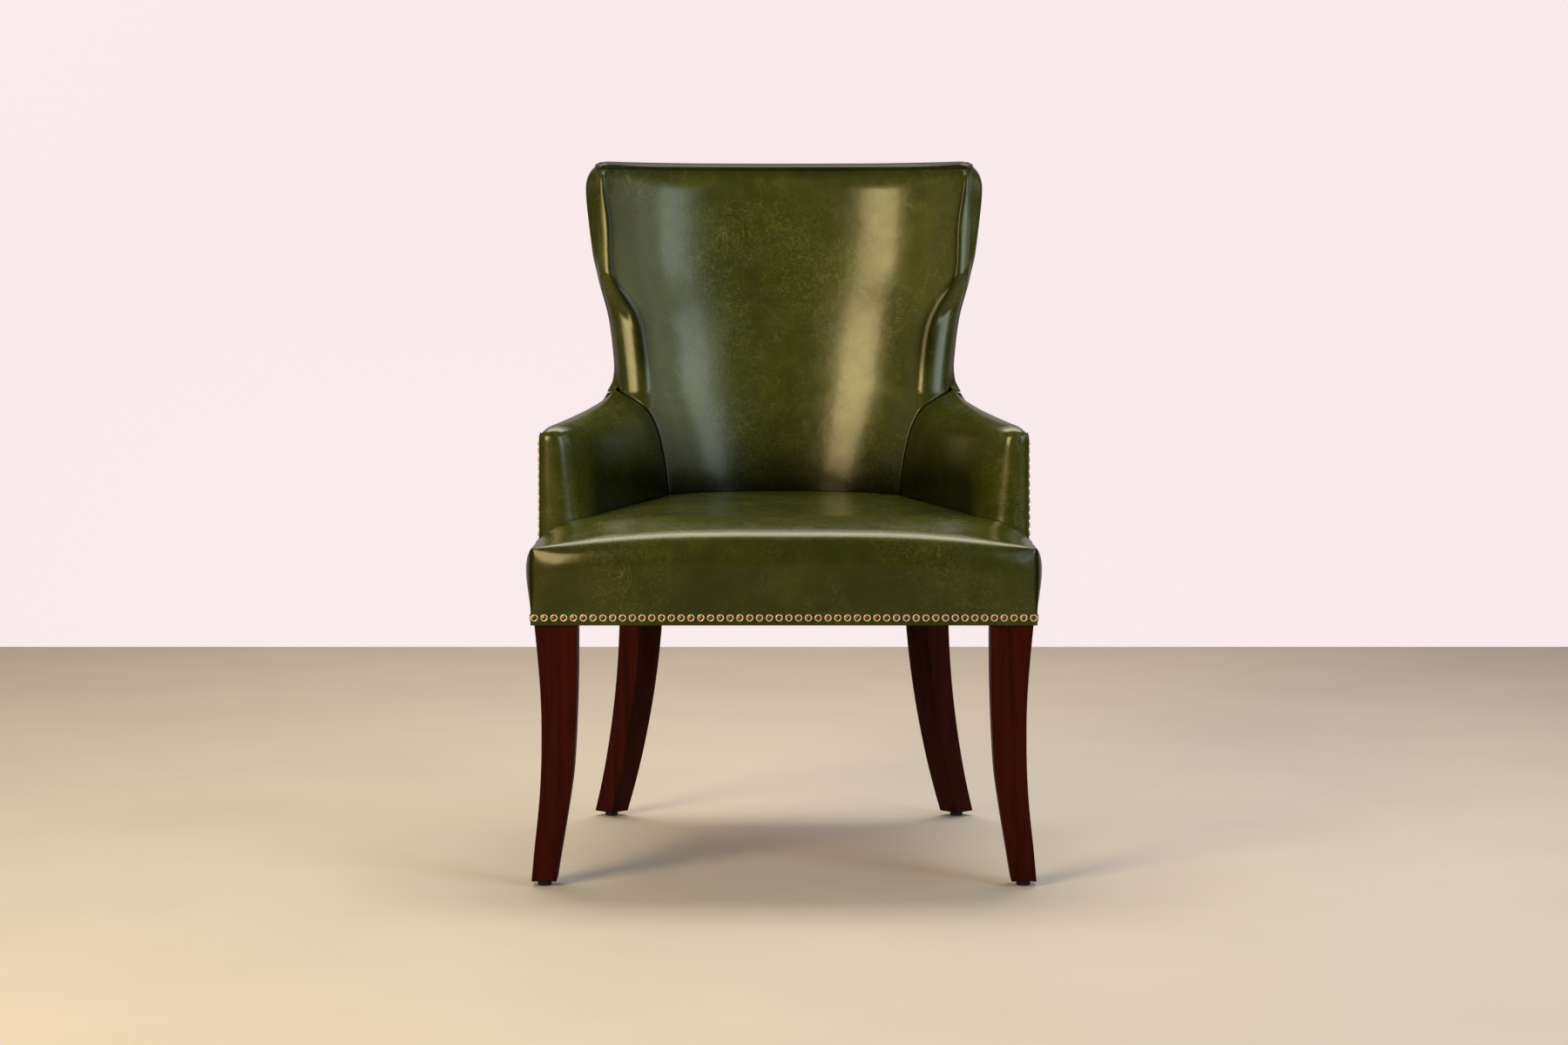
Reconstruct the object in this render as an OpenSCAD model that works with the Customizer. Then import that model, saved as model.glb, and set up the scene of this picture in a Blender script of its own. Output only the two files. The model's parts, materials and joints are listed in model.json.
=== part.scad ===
// Upholstered dining armchair. A hardwood frame on four sabre legs carries a sprung, crowned
// seat with a T shaped front, two sloping arms and a winged back that is hollow in plan.
// All of it is covered in leather, with one row of domed brass nails round the rail and up each arm.
// Millimetres. The floor is z = 0 and the chair faces the minus Y side.

/* [Seat] */
// Width over the two sewn front corners of the seat
seat_w = 658; // [600:1:720]
// Distance from the origin to the front seams of the seat
seat_front = 325; // [300:1:350]
// Length of the seat front that stands ahead of the arms
ear_len = 115; // [95:1:135]
// Height of the underside of the seat rails
rail_bottom_h = 347; // [320:1:380]
// Height of the seat rails from their underside to their top
rail_h = 58; // [50:1:64]
// Height of the pointed front corners of the seat above the rail underside
corner_up = 100; // [96:1:110]
// Rise of the seat from its corners to its middle
seat_crown = 36; // [26:1:44]
// Bulge of the seat front ahead of its corner seams
front_bulge = 18; // [8:1:20]
// Bulge of the seat sides beyond their corner seams
side_bulge = 8; // [4:1:14]
// Fall of the seat top towards its rolled front edge
front_fall = 20; // [10:1:26]

/* [Arms] */
// Width of each arm at its front
arm_w = 44; // [40:1:54]
// Height of the arm top at the front
arm_front_h = 601; // [570:1:630]
// Height at which the arm top runs into the back
arm_back_h = 635; // [620:1:650]
// Radius of the rounded upright edges of the arm front
arm_round = 13; // [8:1:15]
// Amount by which the inner face of the arm front leans in towards the seat
arm_foot_in = 10; // [0:1:12]
// Amount by which the outer face of the arm leans in at its middle
arm_hollow = 18; // [8:1:20]

/* [Back] */
// Height of the front ridge along the top of the back
ridge_h = 955; // [900:1:1000]
// Half of the width between the wing ridges at the top
ridge_x = 269; // [250:1:285]
// Half of the width between the edges of the back at its waist
waist_x = 240; // [230:1:250]
// Half of the width between the wing ridges where they end above the waist
kink_x = 262; // [250:1:275]
// Height of the waist
waist_h = 680; // [660:1:700]
// Height at which the wing ridges end
kink_h = 796; // [770:1:820]
// Lean of the inside of the back from upright, in degrees
rake = 12; // [9:0.5:13]
// Distance from the origin back to the inside of the back at the seat
back_inner_y = 177; // [165:1:185]
// Distance from the origin back to the wing ridge at the arm
wing_low_y = 100; // [90:1:112]
// Distance from the origin back to the wing ridge at the top
wing_top_y = 170; // [160:1:180]
// Distance from the origin back to the outside of the back at the rail
back_outer_low_y = 297; // [288:1:305]
// Thickness of the back at the middle of its top
back_t = 67.16; // [62:0.02:76]
// Half of the width of the frame at its rear corners
rear_x = 246; // [242:1:252]
// Bulge of the wing sides beyond their ridges
wing_bulge = 15.5; // [6:0.5:18]
// Bulge of the top band above the ridge
top_bulge = 11; // [5:0.5:14]

/* [Legs] */
// Width of a front leg at the rail
front_leg_w = 55.6; // [48:0.2:58]
// Depth of a front leg at the rail
front_leg_d = 50; // [40:0.5:52]
// Width and depth of a front leg at its foot
front_foot_w = 32.8; // [28:0.2:38]
// Sideways splay of a front leg at its foot
front_foot_out = 18.4; // [8:0.2:24]
// Width of each face of a rear leg at the rail
rear_leg_w = 46.4; // [40:0.2:50]
// Width of each face of a rear leg at its foot
rear_foot_w = 34; // [28:0.5:38]
// Splay of a rear leg at its foot, along the diagonal
rear_foot_out = 67.5; // [40:0.5:75]
// Diameter of the black glide under each foot
glide_d = 18.5; // [14:0.5:24]
// Height of the black glide under each foot
glide_h = 7; // [4:0.5:10]
// Diameter of the bolt that holds each leg
leg_bolt_d = 8; // [6:0.5:10]

/* [Trim] */
// Diameter of a brass nail head
nail_d = 10.5; // [8:0.5:12]
// Distance between nails along the rail
nail_pitch = 12.65; // [12.5:0.05:16]
// Distance between nails up the arm
arm_nail_pitch = 10.7; // [10.6:0.1:16]
// Height of the domed brass nail head
nail_h = 2.8; // [2:0.2:4]
// Height of the nail row above the rail underside
nail_up = 10; // [6:0.5:12]

/* [Materials] */
// Thickness of the leather cover
leather_t = 2; // [1.2:0.1:2.5]
// Thickness of the leather and board that close the outside of the arms and back
panel_t = 3; // [2:0.2:4]
// Thickness of the foam on the inside of the back
back_foam_t = 26; // [18:1:28]
// Thickness of the foam on the inside of the arms
arm_foam_t = 9; // [6:0.5:10]
// Thickness of the padding under the leather of the bands and arm tops
band_pad_t = 5; // [3:0.5:6]
// Thickness of the rails of the seat frame
rail_t = 22; // [18:1:26]
// Width of the upright posts of the back
post_w = 24; // [18:1:26]
// Depth of the upright posts of the back
post_d = 30; // [22:1:32]
// Diameter of the wire of the seat springs
wire_d = 3.6; // [3:0.2:4.5]

/* [Hidden] */

// Colours of the leather, the stained wood, the plain frame wood and the fittings
leather_color = [0.20, 0.24, 0.08];
stain_color = [0.24, 0.07, 0.05];
beech_color = [0.80, 0.66, 0.46];
foam_color = [0.93, 0.90, 0.80];
brass_color = [0.78, 0.62, 0.30];
steel_color = [0.55, 0.56, 0.58];
black_color = [0.05, 0.05, 0.05];
jute_color = [0.66, 0.54, 0.38];

// Clearance between pieces that lie against each other
gap = 0.3;
// Clearance between the frame and the leather or board that passes over it
frame_slack = 1;
// Overrun of a cut past the face it opens
cut = 1;
// Smoothness of round pieces
round_fn = 32;

// Derived places of the seat and arms
half_w = seat_w / 2;
arm_front = seat_front - ear_len;
rail_top_h = rail_bottom_h + rail_h;
corner_h = rail_bottom_h + corner_up;
crest_h = corner_h + seat_crown;
seat_back_up = 7;
seat_back_h = crest_h + seat_back_up;
tuck_h = rail_top_h + 2 * seat_back_up;

// Smooth curve through a table of places and values
function tangent(tab, i) =
    let (a = max(0, i - 1), b = min(len(tab) - 1, i + 1))
    (tab[b][1] - tab[a][1]) / (tab[b][0] - tab[a][0]);
function span_of(tab, x, i = 0) =
    i >= len(tab) - 2 || x <= tab[i + 1][0] ? i : span_of(tab, x, i + 1);
function curve(tab, x) =
    let (
        i = span_of(tab, x), h = tab[i + 1][0] - tab[i][0],
        t = max(0, min(1, (x - tab[i][0]) / h)),
        a = tab[i][1], b = tab[i + 1][1], da = tangent(tab, i) * h, db = tangent(tab, i + 1) * h
    )
    a * (1 + 2 * t) * (1 - t) ^ 2 + b * t * t * (3 - 2 * t)
        + da * t * (1 - t) ^ 2 - db * t * t * (1 - t);
function mix(a, b, t) = a + (b - a) * t;
function share_table(places, from, to, shares, low, high) =
    [for (i = [0 : len(places) - 1])
        [mix(from, to, places[i]), mix(low, high, shares[i])]];

// Inside of the back. Its edge is the seam to the arm up to the arm top, and the wing ridge above.
seam_low_x = 163;
seam_in = 4;
seam_top_x = waist_x - seam_in;
seam_place_share = [0, 0.30, 0.43, 0.62, 0.81, 0.92, 1];
seam_out_share = [0, 0.03, 0.06, 0.15, 0.32, 0.58, 1];
seam_tab = share_table(seam_place_share, tuck_h, arm_back_h, seam_out_share, seam_low_x, seam_top_x);
ridge_tab = [
    [arm_back_h, seam_top_x], [waist_h, waist_x], [mix(waist_h, kink_h, 0.52), mix(waist_x, kink_x, 0.4)],
    [kink_h, kink_x], [mix(kink_h, ridge_h, 0.4), mix(kink_x, ridge_x, 0.55)], [ridge_h, ridge_x]
];
function edge_x(z) = z < arm_back_h ? curve(seam_tab, z) : curve(ridge_tab, z);
function inner_mid_y(z) = back_inner_y + (z - seat_back_h) * tan(rake);
function ridge_y(z) = mix(wing_low_y, wing_top_y, (z - arm_back_h) / (ridge_h - arm_back_h));
// Hollow of the back in plan: its half width, its depth and how squarely it turns
hollow_low_x = 190;
hollow_low_d = 109;
function low_part(z) = max(0, min(1, (z - seat_back_h) / (arm_back_h - seat_back_h)));
function hollow_x(z) = z < arm_back_h ? mix(hollow_low_x, seam_top_x, low_part(z)) : edge_x(z);
function hollow_d(z) =
    z < arm_back_h
    ? mix(hollow_low_d, inner_mid_y(arm_back_h) - ridge_y(arm_back_h), low_part(z))
    : inner_mid_y(z) - ridge_y(z);
hollow_low_power = 4.2;
hollow_arm_power = 3.4;
hollow_top_power = 2.7;
function hollow_power(z) =
    z < arm_back_h ? mix(hollow_low_power, hollow_arm_power, low_part(z))
    : mix(hollow_arm_power, hollow_top_power, (z - arm_back_h) / (ridge_h - arm_back_h));
function hollow_y(x, z) = inner_mid_y(z) - hollow_d(z) * (abs(x) / hollow_x(z)) ^ hollow_power(z);

// Roll of the leather over the edge of the back, full at the waist and tight on the wings
waist_setback = 13;
top_setback = 3;
top_setback_len = 14;
roll_up_share = [0, 0.31, 0.5, 0.72, 0.9, 1];
roll_size_share = [1, 1, 0.85, 0.7, 0.4, 0.1];
roll_tab = share_table(roll_up_share, arm_back_h, ridge_h, roll_size_share, 0, waist_setback);
roll_place_share = 0.84;
function edge_roll(x, z) =
    z < arm_back_h ? 0
    : curve(roll_tab, z) * max(0, (abs(x) / edge_x(z) - roll_place_share) / (1 - roll_place_share)) ^ 2;
function top_roll_y(z) = top_setback * max(0, (z - ridge_h + top_setback_len) / top_setback_len) ^ 2;
function face_y(x, z) = hollow_y(x, z) + edge_roll(x, z) + top_roll_y(z);
// Distance straight back through a layer that is `t` thick across the slope of the face
slope_step = 1;
function across_slope(x, z, t) =
    let (s = (face_y(abs(x), z) - face_y(abs(x) - slope_step, z)) / slope_step)
    t * min(2.6, sqrt(1 + s * s));
skin_slot = leather_t + gap;
function foam_front_y(x, z) = face_y(x, z) + across_slope(x, z, skin_slot + gap);
function foam_back_y(x, z) = foam_front_y(x, z) + back_foam_t;

// Outside of the back
// Overrun of the outside of the back past the edge it meets, at the rail, waist, kink and top
low_over = 4;
waist_over = 7;
kink_over = 4;
top_over = 8;
outer_low_x = rear_x + low_over;
outer_low_d = 62;
outer_d = 116;
top_h = ridge_h + top_bulge;
back_outer_top_y = inner_mid_y(ridge_h) + back_t;
function outer_mid_y(z) =
    mix(back_outer_low_y, back_outer_top_y, (z - rail_bottom_h) / (top_h - rail_bottom_h));
outer_x_tab = [
    [rail_bottom_h, outer_low_x], [mix(rail_bottom_h, arm_back_h, 0.5), outer_low_x],
    [waist_h, waist_x + waist_over], [kink_h, kink_x + kink_over], [top_h, ridge_x + top_over]
];
outer_d_tab = [
    [rail_bottom_h, outer_low_d], [mix(rail_bottom_h, arm_back_h, 0.5), mix(outer_low_d, outer_d, 0.5)],
    [arm_back_h, outer_d], [top_h, outer_d]
];
outer_power_tab = [
    [rail_bottom_h, 7], [mix(rail_bottom_h, arm_back_h, 0.5), 5], [arm_back_h, 3.5], [top_h, 2.4]
];
function outer_y(x, z) =
    outer_mid_y(z)
    - curve(outer_d_tab, z) * (abs(x) / curve(outer_x_tab, z)) ^ curve(outer_power_tab, z);

// Bulge of the bands round the back, from nothing at the ridge to full and a little back
bulge_tab = [
    [arm_back_h, wing_bulge * 1.2], [mix(arm_back_h, waist_h, 0.35), wing_bulge * 0.65],
    [waist_h, wing_bulge * 0.38], [kink_h, wing_bulge * 0.36],
    [mix(kink_h, ridge_h, 0.22), wing_bulge * 0.68], [mix(kink_h, ridge_h, 0.5), wing_bulge * 0.95],
    [mix(kink_h, ridge_h, 0.83), wing_bulge * 1.12], [ridge_h, wing_bulge * 0.75]
];
function band_rise(q) = q < 0.55 ? sin(90 * q / 0.55) : 1 - 0.35 * ((q - 0.55) / 0.45) ^ 2;
function wing_out(z) = curve(bulge_tab, z);
function rear_edge_x(z) =
    z < arm_back_h
    ? mix(rear_x, seam_top_x + wing_out(arm_back_h) * band_rise(1),
        (z - rail_bottom_h) / (arm_back_h - rail_bottom_h))
    : edge_x(z) + wing_out(z) * band_rise(1);

// Outer side of the arms and rail behind the seat front
side_end_y = outer_y(rear_x, rail_bottom_h);
lean_place_share = [0, 0.13, 0.27, 0.38, 0.58, 0.75, 1];
lean_out_share = [0, 0.42, 0.72, 0.92, 1, 0.8, 0.1];
lean_tab = share_table(lean_place_share, -arm_front, side_end_y, lean_out_share, 0, arm_hollow);
arm_top_round = 13;
function arm_top_z(y) =
    mix(arm_front_h, arm_back_h - arm_top_crown * 0.3, min(1, (y + arm_front) / (wing_low_y + arm_front)));
function panel_top_z(y) =
    y < wing_low_y ? arm_top_z(y) - arm_top_round
    : mix(arm_top_z(wing_low_y) - arm_top_round, arm_back_h - gap,
        min(1, (y - wing_low_y) / (side_end_y - wing_low_y) * 2.5));
function side_x(y) = mix(half_w, rear_x, (y + arm_front) / (side_end_y + arm_front));
function side_out_x(y, z) =
    side_x(y) - curve(lean_tab, y) * (z - rail_bottom_h) / (arm_back_h - rail_bottom_h);

// Inner side of the arms, from the back seam (s is 0) to the front (s is 1) and up by share r
arm_top_crown = 7;
arm_pillow = 6;
arm_bow_low = 13;
arm_bow_top = -14;
function arm_point(s, r) =
    let (
        zr = mix(tuck_h, arm_back_h, r),
        zf = mix(tuck_h, arm_front_h - arm_top_crown, r),
        rear = [edge_x(zr - gap), face_y(edge_x(zr - gap), zr - gap) - 2 * gap],
        front = [half_w - arm_w - arm_foot_in * (1 - r), arm_round - arm_front],
        middle = (rear + front) / 2 + [2 * mix(arm_bow_low, arm_bow_top, r), 0],
        p = rear * (1 - s) ^ 2 + middle * 2 * s * (1 - s) + front * s ^ 2,
        pillow = arm_pillow * sin(180 * r ^ 2) * sin(90 * min(1, 3 * s)) * (1 - s ^ 6)
    )
    [p[0] - pillow, p[1], mix(zr, zf, s)];

// A cover or pad is a sheet between an outer and an inner surface. Each surface is a face grid
// and rings of points that leave the face along a path on its edge, clockwise seen from outside.
function flat_list(rows) = [for (row = rows) for (p = row) p];
function quad(a, b, c, d) = [[a, c, b], [a, d, c]];
module sheet(face_out, face_in, path = [], rings_out = [], rings_in = [], closed = false) {
    n = len(face_out[0]) - 1;
    m = len(face_out) - 1;
    faces = (n + 1) * (m + 1);
    k_end = len(rings_out);
    b_end = len(path) - 1;
    side = faces + k_end * len(path);
    function at(i, j) = j * (n + 1) + i;
    function ring(k, b) =
        let (c = b % len(path))
        k == 0 ? at(path[c][0], path[c][1]) : faces + (k - 1) * len(path) + c;
    b_quads = closed ? b_end : b_end - 1;
    no_ring = k_end == 0;
    left_j = no_ring ? m : path[0][1];
    right_j = no_ring ? m : path[b_end][1];
    edge =
        closed ? [for (b = [b_end : -1 : 0]) ring(k_end, b)]
        : no_ring ? concat(
            [for (i = [0 : n]) at(i, 0)], [for (j = [1 : m]) at(n, j)],
            [for (i = [n - 1 : -1 : 0]) at(i, m)], [for (j = [m - 1 : -1 : 1]) at(0, j)])
        : concat(
            [for (i = [0 : n]) at(i, 0)], [for (j = [1 : 1 : right_j]) at(n, j)],
            [for (k = [1 : k_end]) ring(k, b_end)],
            [for (b = [b_end - 1 : -1 : 0]) ring(k_end, b)],
            [for (k = [k_end - 1 : -1 : 0]) ring(k, 0)],
            [for (j = [left_j - 1 : -1 : 1]) at(0, j)]);
    skin = concat(
        [for (j = [0 : m - 1]) for (i = [0 : n - 1])
            each quad(at(i, j), at(i + 1, j), at(i + 1, j + 1), at(i, j + 1))],
        no_ring ? [] : [for (k = [0 : k_end - 1]) for (b = [0 : b_quads])
            each quad(ring(k, b), ring(k, b + 1), ring(k + 1, b + 1), ring(k + 1, b))]);
    back = [for (t = skin) [side + t[0], side + t[2], side + t[1]]];
    rim = [for (e = [0 : len(edge) - 1])
        let (a = edge[e], b = edge[(e + 1) % len(edge)])
        each quad(b, a, side + a, side + b)];
    polyhedron(
        points = concat(flat_list(face_out), flat_list(rings_out), flat_list(face_in), flat_list(rings_in)),
        faces = concat(skin, back, rim));
}
// A bar through a list of cross sections with four corners each
module bar(sections) {
    count = len(sections);
    n = len(sections[0]);
    polyhedron(
        points = flat_list(sections),
        faces = concat(
            [for (k = [0 : count - 2]) for (c = [0 : n - 1])
                each quad(n * k + c, n * k + (c + 1) % n, n * (k + 1) + (c + 1) % n, n * (k + 1) + c)],
            [for (c = [1 : n - 2]) [0, c, c + 1]],
            [for (c = [1 : n - 2]) [for (v = [0, c + 1, c]) n * (count - 1) + v]]));
}

// Grid of the inside of the back: columns across and rows up, with the band from row band_row up
back_row_share = [0, 0.1, 0.2, 0.29, 0.345, 0.3786, 0.42, 0.5, 0.6, 0.69, 0.76, 0.84, 0.92, 0.97, 1];
band_row = 5;
back_cols = 14;
function back_row_z(j) =
    j <= band_row ? mix(tuck_h, arm_back_h, back_row_share[j] / back_row_share[band_row])
    : mix(arm_back_h, ridge_h,
        (back_row_share[j] - back_row_share[band_row]) / (1 - back_row_share[band_row]));
function across(i, cols) = sin(90 * (2 * i / cols - 1));
back_rows = len(back_row_share) - 1;
band_qs = [0.1, 0.3, 0.6, 1];
back_path = concat(
    [for (j = [band_row : back_rows]) [0, j]],
    [for (i = [1 : back_cols]) [i, back_rows]],
    [for (j = [back_rows - 1 : -1 : band_row]) [back_cols, j]]);
// Layer of the back: 0 is the leather's face, 1 its inside, 2 the foam's face and 3 the foam's back
layer_in = [0, leather_t, skin_slot, leather_t + band_pad_t];
function layer_y(x, z, layer) =
    layer == 0 ? face_y(x, z)
    : layer == 1 ? face_y(x, z) + across_slope(x, z, leather_t)
    : layer == 2 ? foam_front_y(x, z) : foam_back_y(x, z);
function back_face(layer) =
    [for (j = [0 : back_rows]) [for (i = [0 : back_cols])
        let (
            z = back_row_z(j), u = across(i, back_cols), x = u * edge_x(z), side = layer_in[layer],
            drop = j == back_rows ? side : j == back_rows - 1 ? side / 2 : 0
        )
        [u * (edge_x(z) - (j >= band_row ? side : 0)), layer_y(x, z, layer), z - drop]]];
function back_rings(layer) =
    [for (q = band_qs) [for (p = back_path)
        let (
            z = back_row_z(p[1]), u = across(p[0], back_cols), x = u * edge_x(z), side = layer_in[layer],
            is_side = p[0] == 0 || p[0] == back_cols, is_top = p[1] == back_rows,
            xo = is_side ? x + sign(u) * (wing_out(z) * band_rise(q) - side) : u * (edge_x(z) - side),
            zo = z + (is_top ? top_bulge * band_rise(q) - side : 0),
            far = outer_y(xo, zo) - panel_t - (layer < 2 ? 4 : 7) * gap
        )
        [xo, mix(min(layer_y(x, z, layer), far - band_pad_t), far, q), zo]]];
module inside_back_cover() {
    color(leather_color) sheet(back_face(0), back_face(1), back_path, back_rings(0), back_rings(1));
}
module back_foam() {
    color(foam_color) sheet(back_face(2), back_face(3), back_path, back_rings(2), back_rings(3));
}
panel_cols = 14;
panel_row_share = [0, 0.14, 0.28, 0.4, 0.5, 0.6, 0.72, 0.84, 0.94, 1];
panel_top_h = ridge_h + top_bulge * band_rise(1);
function back_panel(deep) =
    [for (r = panel_row_share) [for (i = [panel_cols : -1 : 0])
        let (z = mix(rail_bottom_h, panel_top_h, r), x = across(i, panel_cols) * rear_edge_x(z))
        [x, outer_y(x, z) - deep, z]]];
module outside_back_panel() {
    color(leather_color) sheet(back_panel(0), back_panel(panel_t));
}

// Right arm. Columns run from the back seam to the front and rows run up.
arm_cols = 7;
arm_rows = 6;
arm_qs = [0.08, 0.25, 0.5, 0.8, 1];
arm_path = concat(
    [for (i = [0 : arm_cols]) [i, arm_rows]],
    [for (j = [arm_rows - 1 : -1 : 0]) [arm_cols, j]]);
function arm_row_share(j) = j / arm_rows;
function arm_crown(s) = arm_top_crown * (0.3 + 0.7 * s);
function round_rise(q, fall) =
    q < 0.3 ? sqrt(1 - (1 - q / 0.3) ^ 2)
    : q > 0.6 ? 1 - fall * ((q - 0.6) / 0.4) ^ 2 : 1;
// Layer of the arm: leather face, leather inside, foam face, foam back. The foam thins at the top.
arm_drop = [0, leather_t, skin_slot + 4 * gap, skin_slot + 4 * gap + band_pad_t];
function arm_in(layer, r) =
    layer < 2 ? arm_drop[layer] : skin_slot * 1.5 + (layer == 3 ? arm_foam_t * (1 - 0.6 * r ^ 3) : 0);
arm_reach = [1, 1, 0.62, 0.62];
function arm_face(layer) =
    [for (j = [0 : arm_rows]) [for (i = [0 : arm_cols])
        let (s = i / arm_cols, r = arm_row_share(j), p = arm_point(s, r), drop = arm_drop[layer])
        [p[0] + arm_in(layer, r), p[1] + (i == arm_cols ? drop : 0), p[2] - (j == arm_rows ? drop : 0)]]];
function arm_rings(layer) =
    [for (share = arm_qs) [for (p = arm_path)
        let (
            s = p[0] / arm_cols, r = arm_row_share(p[1]), a = arm_point(s, r), drop = arm_drop[layer],
            q = share * arm_reach[layer], front = p[0] == arm_cols, top = p[1] == arm_rows,
            curl = q > 0.6 ? (arm_top_round + gap) * ((q - 0.6) / 0.4) ^ 2 : 0,
            y = front ? a[1] - arm_round * round_rise(q, 0.8) + drop : a[1],
            z = top ? a[2] + arm_crown(s) * round_rise(q, 0) - curl - drop : a[2],
            far = side_out_x(y, z) - panel_t - gap - (layer == 1 ? leather_t / 2 : 0)
        )
        [mix(a[0] + arm_in(layer, r), far, q), y, z]]];
module arm_cover() {
    color(leather_color) sheet(arm_face(0), arm_face(1), arm_path, arm_rings(0), arm_rings(1));
}
module arm_foam() {
    color(foam_color) sheet(arm_face(2), arm_face(3), arm_path, arm_rings(2), arm_rings(3));
}
side_cols = 12;
side_rows = 5;
function side_panel(deep) =
    [for (j = [0 : side_rows]) [for (i = [0 : side_cols])
        let (
            start = gap - arm_front + arm_round / 2,
            y_low = mix(start, side_end_y, i / side_cols),
            z = mix(rail_bottom_h, panel_top_z(y_low), j / side_rows),
            y = mix(start, outer_y(rear_edge_x(z), z) - panel_t - 2 * gap, i / side_cols)
        )
        [side_out_x(y, z) - deep, y, z]]];
module arm_panel() {
    color(leather_color) sheet(side_panel(0), side_panel(panel_t));
}
module on_left() { mirror([1, 0, 0]) children(); }

// Seat. Rows run from the front edge back over the ears and then between the arms.
ear_row_share = [0, 0.08, 0.24, 0.6, 0.96];
arm_step_s = [1, 0.98, 0.8, 0.6, 0.4, 0.2, 0];
row_mid_share = [-0.005, 0.02, 0.17, 0.36, 0.56, 0.78, 1];
seat_cols = 14;
ear_rows = len(ear_row_share);
seat_rows = ear_rows + len(arm_step_s) - 1;
seat_edge_power = 4;
function seat_arm_r(z) = (z - tuck_h) / (arm_front_h - tuck_h);
// Right edge of seat row j at height z
function seat_edge(j, z, inset) =
    j < ear_rows ? [half_w - inset, -seat_front + ear_len * ear_row_share[j] + (j == 0 ? inset : 0)]
    : let (
        s = arm_step_s[j - ear_rows], r = seat_arm_r(max(z, tuck_h)), p = arm_point(s, r),
        step = j - ear_rows
    )
    step == 0 ? [half_w - band_pad_t - gap - inset, -arm_front - 3 * gap - inset]
    : step == 1 ? [p[0] - gap - inset, -arm_front - gap - inset]
    : [p[0] - 2 * gap - inset - leather_t * 0.4 * (1 - s), p[1] - (gap + inset) * (1 - s)];
function seat_back_y(x, z, inset) = hollow_y(x, z) - gap * 3 - inset * 1.5;
function seat_mid_y(j, z, inset) =
    j < ear_rows ? -seat_front + ear_len * ear_row_share[j] + (j == 0 ? inset : 0)
    : mix(-arm_front, seat_back_y(0, z, inset), row_mid_share[j - ear_rows]);
function seat_xy(i, j, z, inset) =
    let (u = across(i, seat_cols), e = seat_edge(j, z, inset), x = u * e[0], w = j / seat_rows)
    j == seat_rows ? [x, seat_back_y(x, z, inset)]
    : [x, mix(seat_mid_y(j, z, inset), e[1], abs(u) ^ seat_edge_power)];
function seat_top_z(i, j) =
    let (
        u = abs(across(i, seat_cols)), y = seat_mid_y(j, crest_h, 0),
        back = (y + seat_front) / (back_inner_y + seat_front),
        ear = j <= ear_rows, e = j < ear_rows ? ear_row_share[j] : 1,
        power = ear ? mix(2.3, 10, e ^ 2) : 4,
        drop = seat_crown * (ear ? 1 : mix(0.22, 0.04, (j - ear_rows) / (seat_rows - ear_rows))),
        fall = ear ? front_fall * (max(0, 1 - e * 2.6)) ^ 2 : 0
    )
    crest_h + seat_back_up * back - drop * u ^ power - fall * (1 - u ^ power);
seat_path = concat(
    [for (j = [0 : seat_rows]) [0, j]],
    [for (i = [1 : seat_cols]) [i, seat_rows]],
    [for (j = [seat_rows - 1 : -1 : 0]) [seat_cols, j]],
    [for (i = [seat_cols - 1 : -1 : 1]) [i, 0]]);
seat_qs = [0.12, 0.3, 0.55, 0.86, 1];
// The band swells to a third of its depth and lies flat where the nails hold it
flat_from = 0.86;
function swell(q) = sin(180 * min(1, q / flat_from) ^ 0.66);
function seat_shown(p) = p[1] < ear_rows;
// A point on the band of the seat at share q of its depth
function band_point(p, q, inset) =
    let (
        top = seat_top_z(p[0], p[1]), shown = seat_shown(p),
        z = mix(top, shown ? rail_bottom_h : tuck_h + gap, q),
        u = across(p[0], seat_cols), at = seat_xy(p[0], p[1], z, inset),
        front = p[1] == 0 ? front_bulge * swell(q) * (1 - abs(u) ^ 8) : 0,
        e = shown ? ear_row_share[p[1]] : 0,
        side = shown && abs(u) == 1 ? side_bulge * swell(q) * (1 - abs(2 * e - 1) ^ 4) : 0
    )
    [at[0] + sign(u) * side, at[1] - front, z];
function seat_face(inset) =
    [for (j = [0 : seat_rows]) [for (i = [0 : seat_cols])
        let (z = seat_top_z(i, j), p = seat_xy(i, j, z, inset))
        [p[0], p[1], z - inset]]];
function seat_rings(inset) = [for (q = seat_qs) [for (p = seat_path) band_point(p, q, inset)]];
module seat_cover() {
    color(leather_color)
    sheet(seat_face(0), seat_face(leather_t), seat_path, seat_rings(0), seat_rings(leather_t), true);
}
clip_t = 1.2;
clip_h = wire_d + 2 * gap + clip_t;
deck_h = rail_top_h + clip_h + gap;
deck_t = 2.4;
foam_low_h = deck_h + deck_t + gap;
function foam_base(inset) =
    [for (j = [0 : seat_rows]) [for (i = [0 : seat_cols])
        let (
            top = seat_top_z(i, j), q = (top - foam_low_h) / (top - rail_bottom_h),
            p = [i, j], edge = j == 0 || i == 0 || i == seat_cols,
            at = edge && seat_shown(p) ? band_point(p, q, inset + frame_slack) : seat_xy(i, j, top, inset),
            at_tuck = seat_xy(i, j, tuck_h, inset + frame_slack)
        )
        edge && seat_shown(p) ? [at[0], at[1], foam_low_h] : [at_tuck[0], at_tuck[1], foam_low_h]]];
module seat_foam() {
    inset = leather_t + 2 * gap;
    color(foam_color) sheet(seat_face(inset), foam_base(inset));
}

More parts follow.
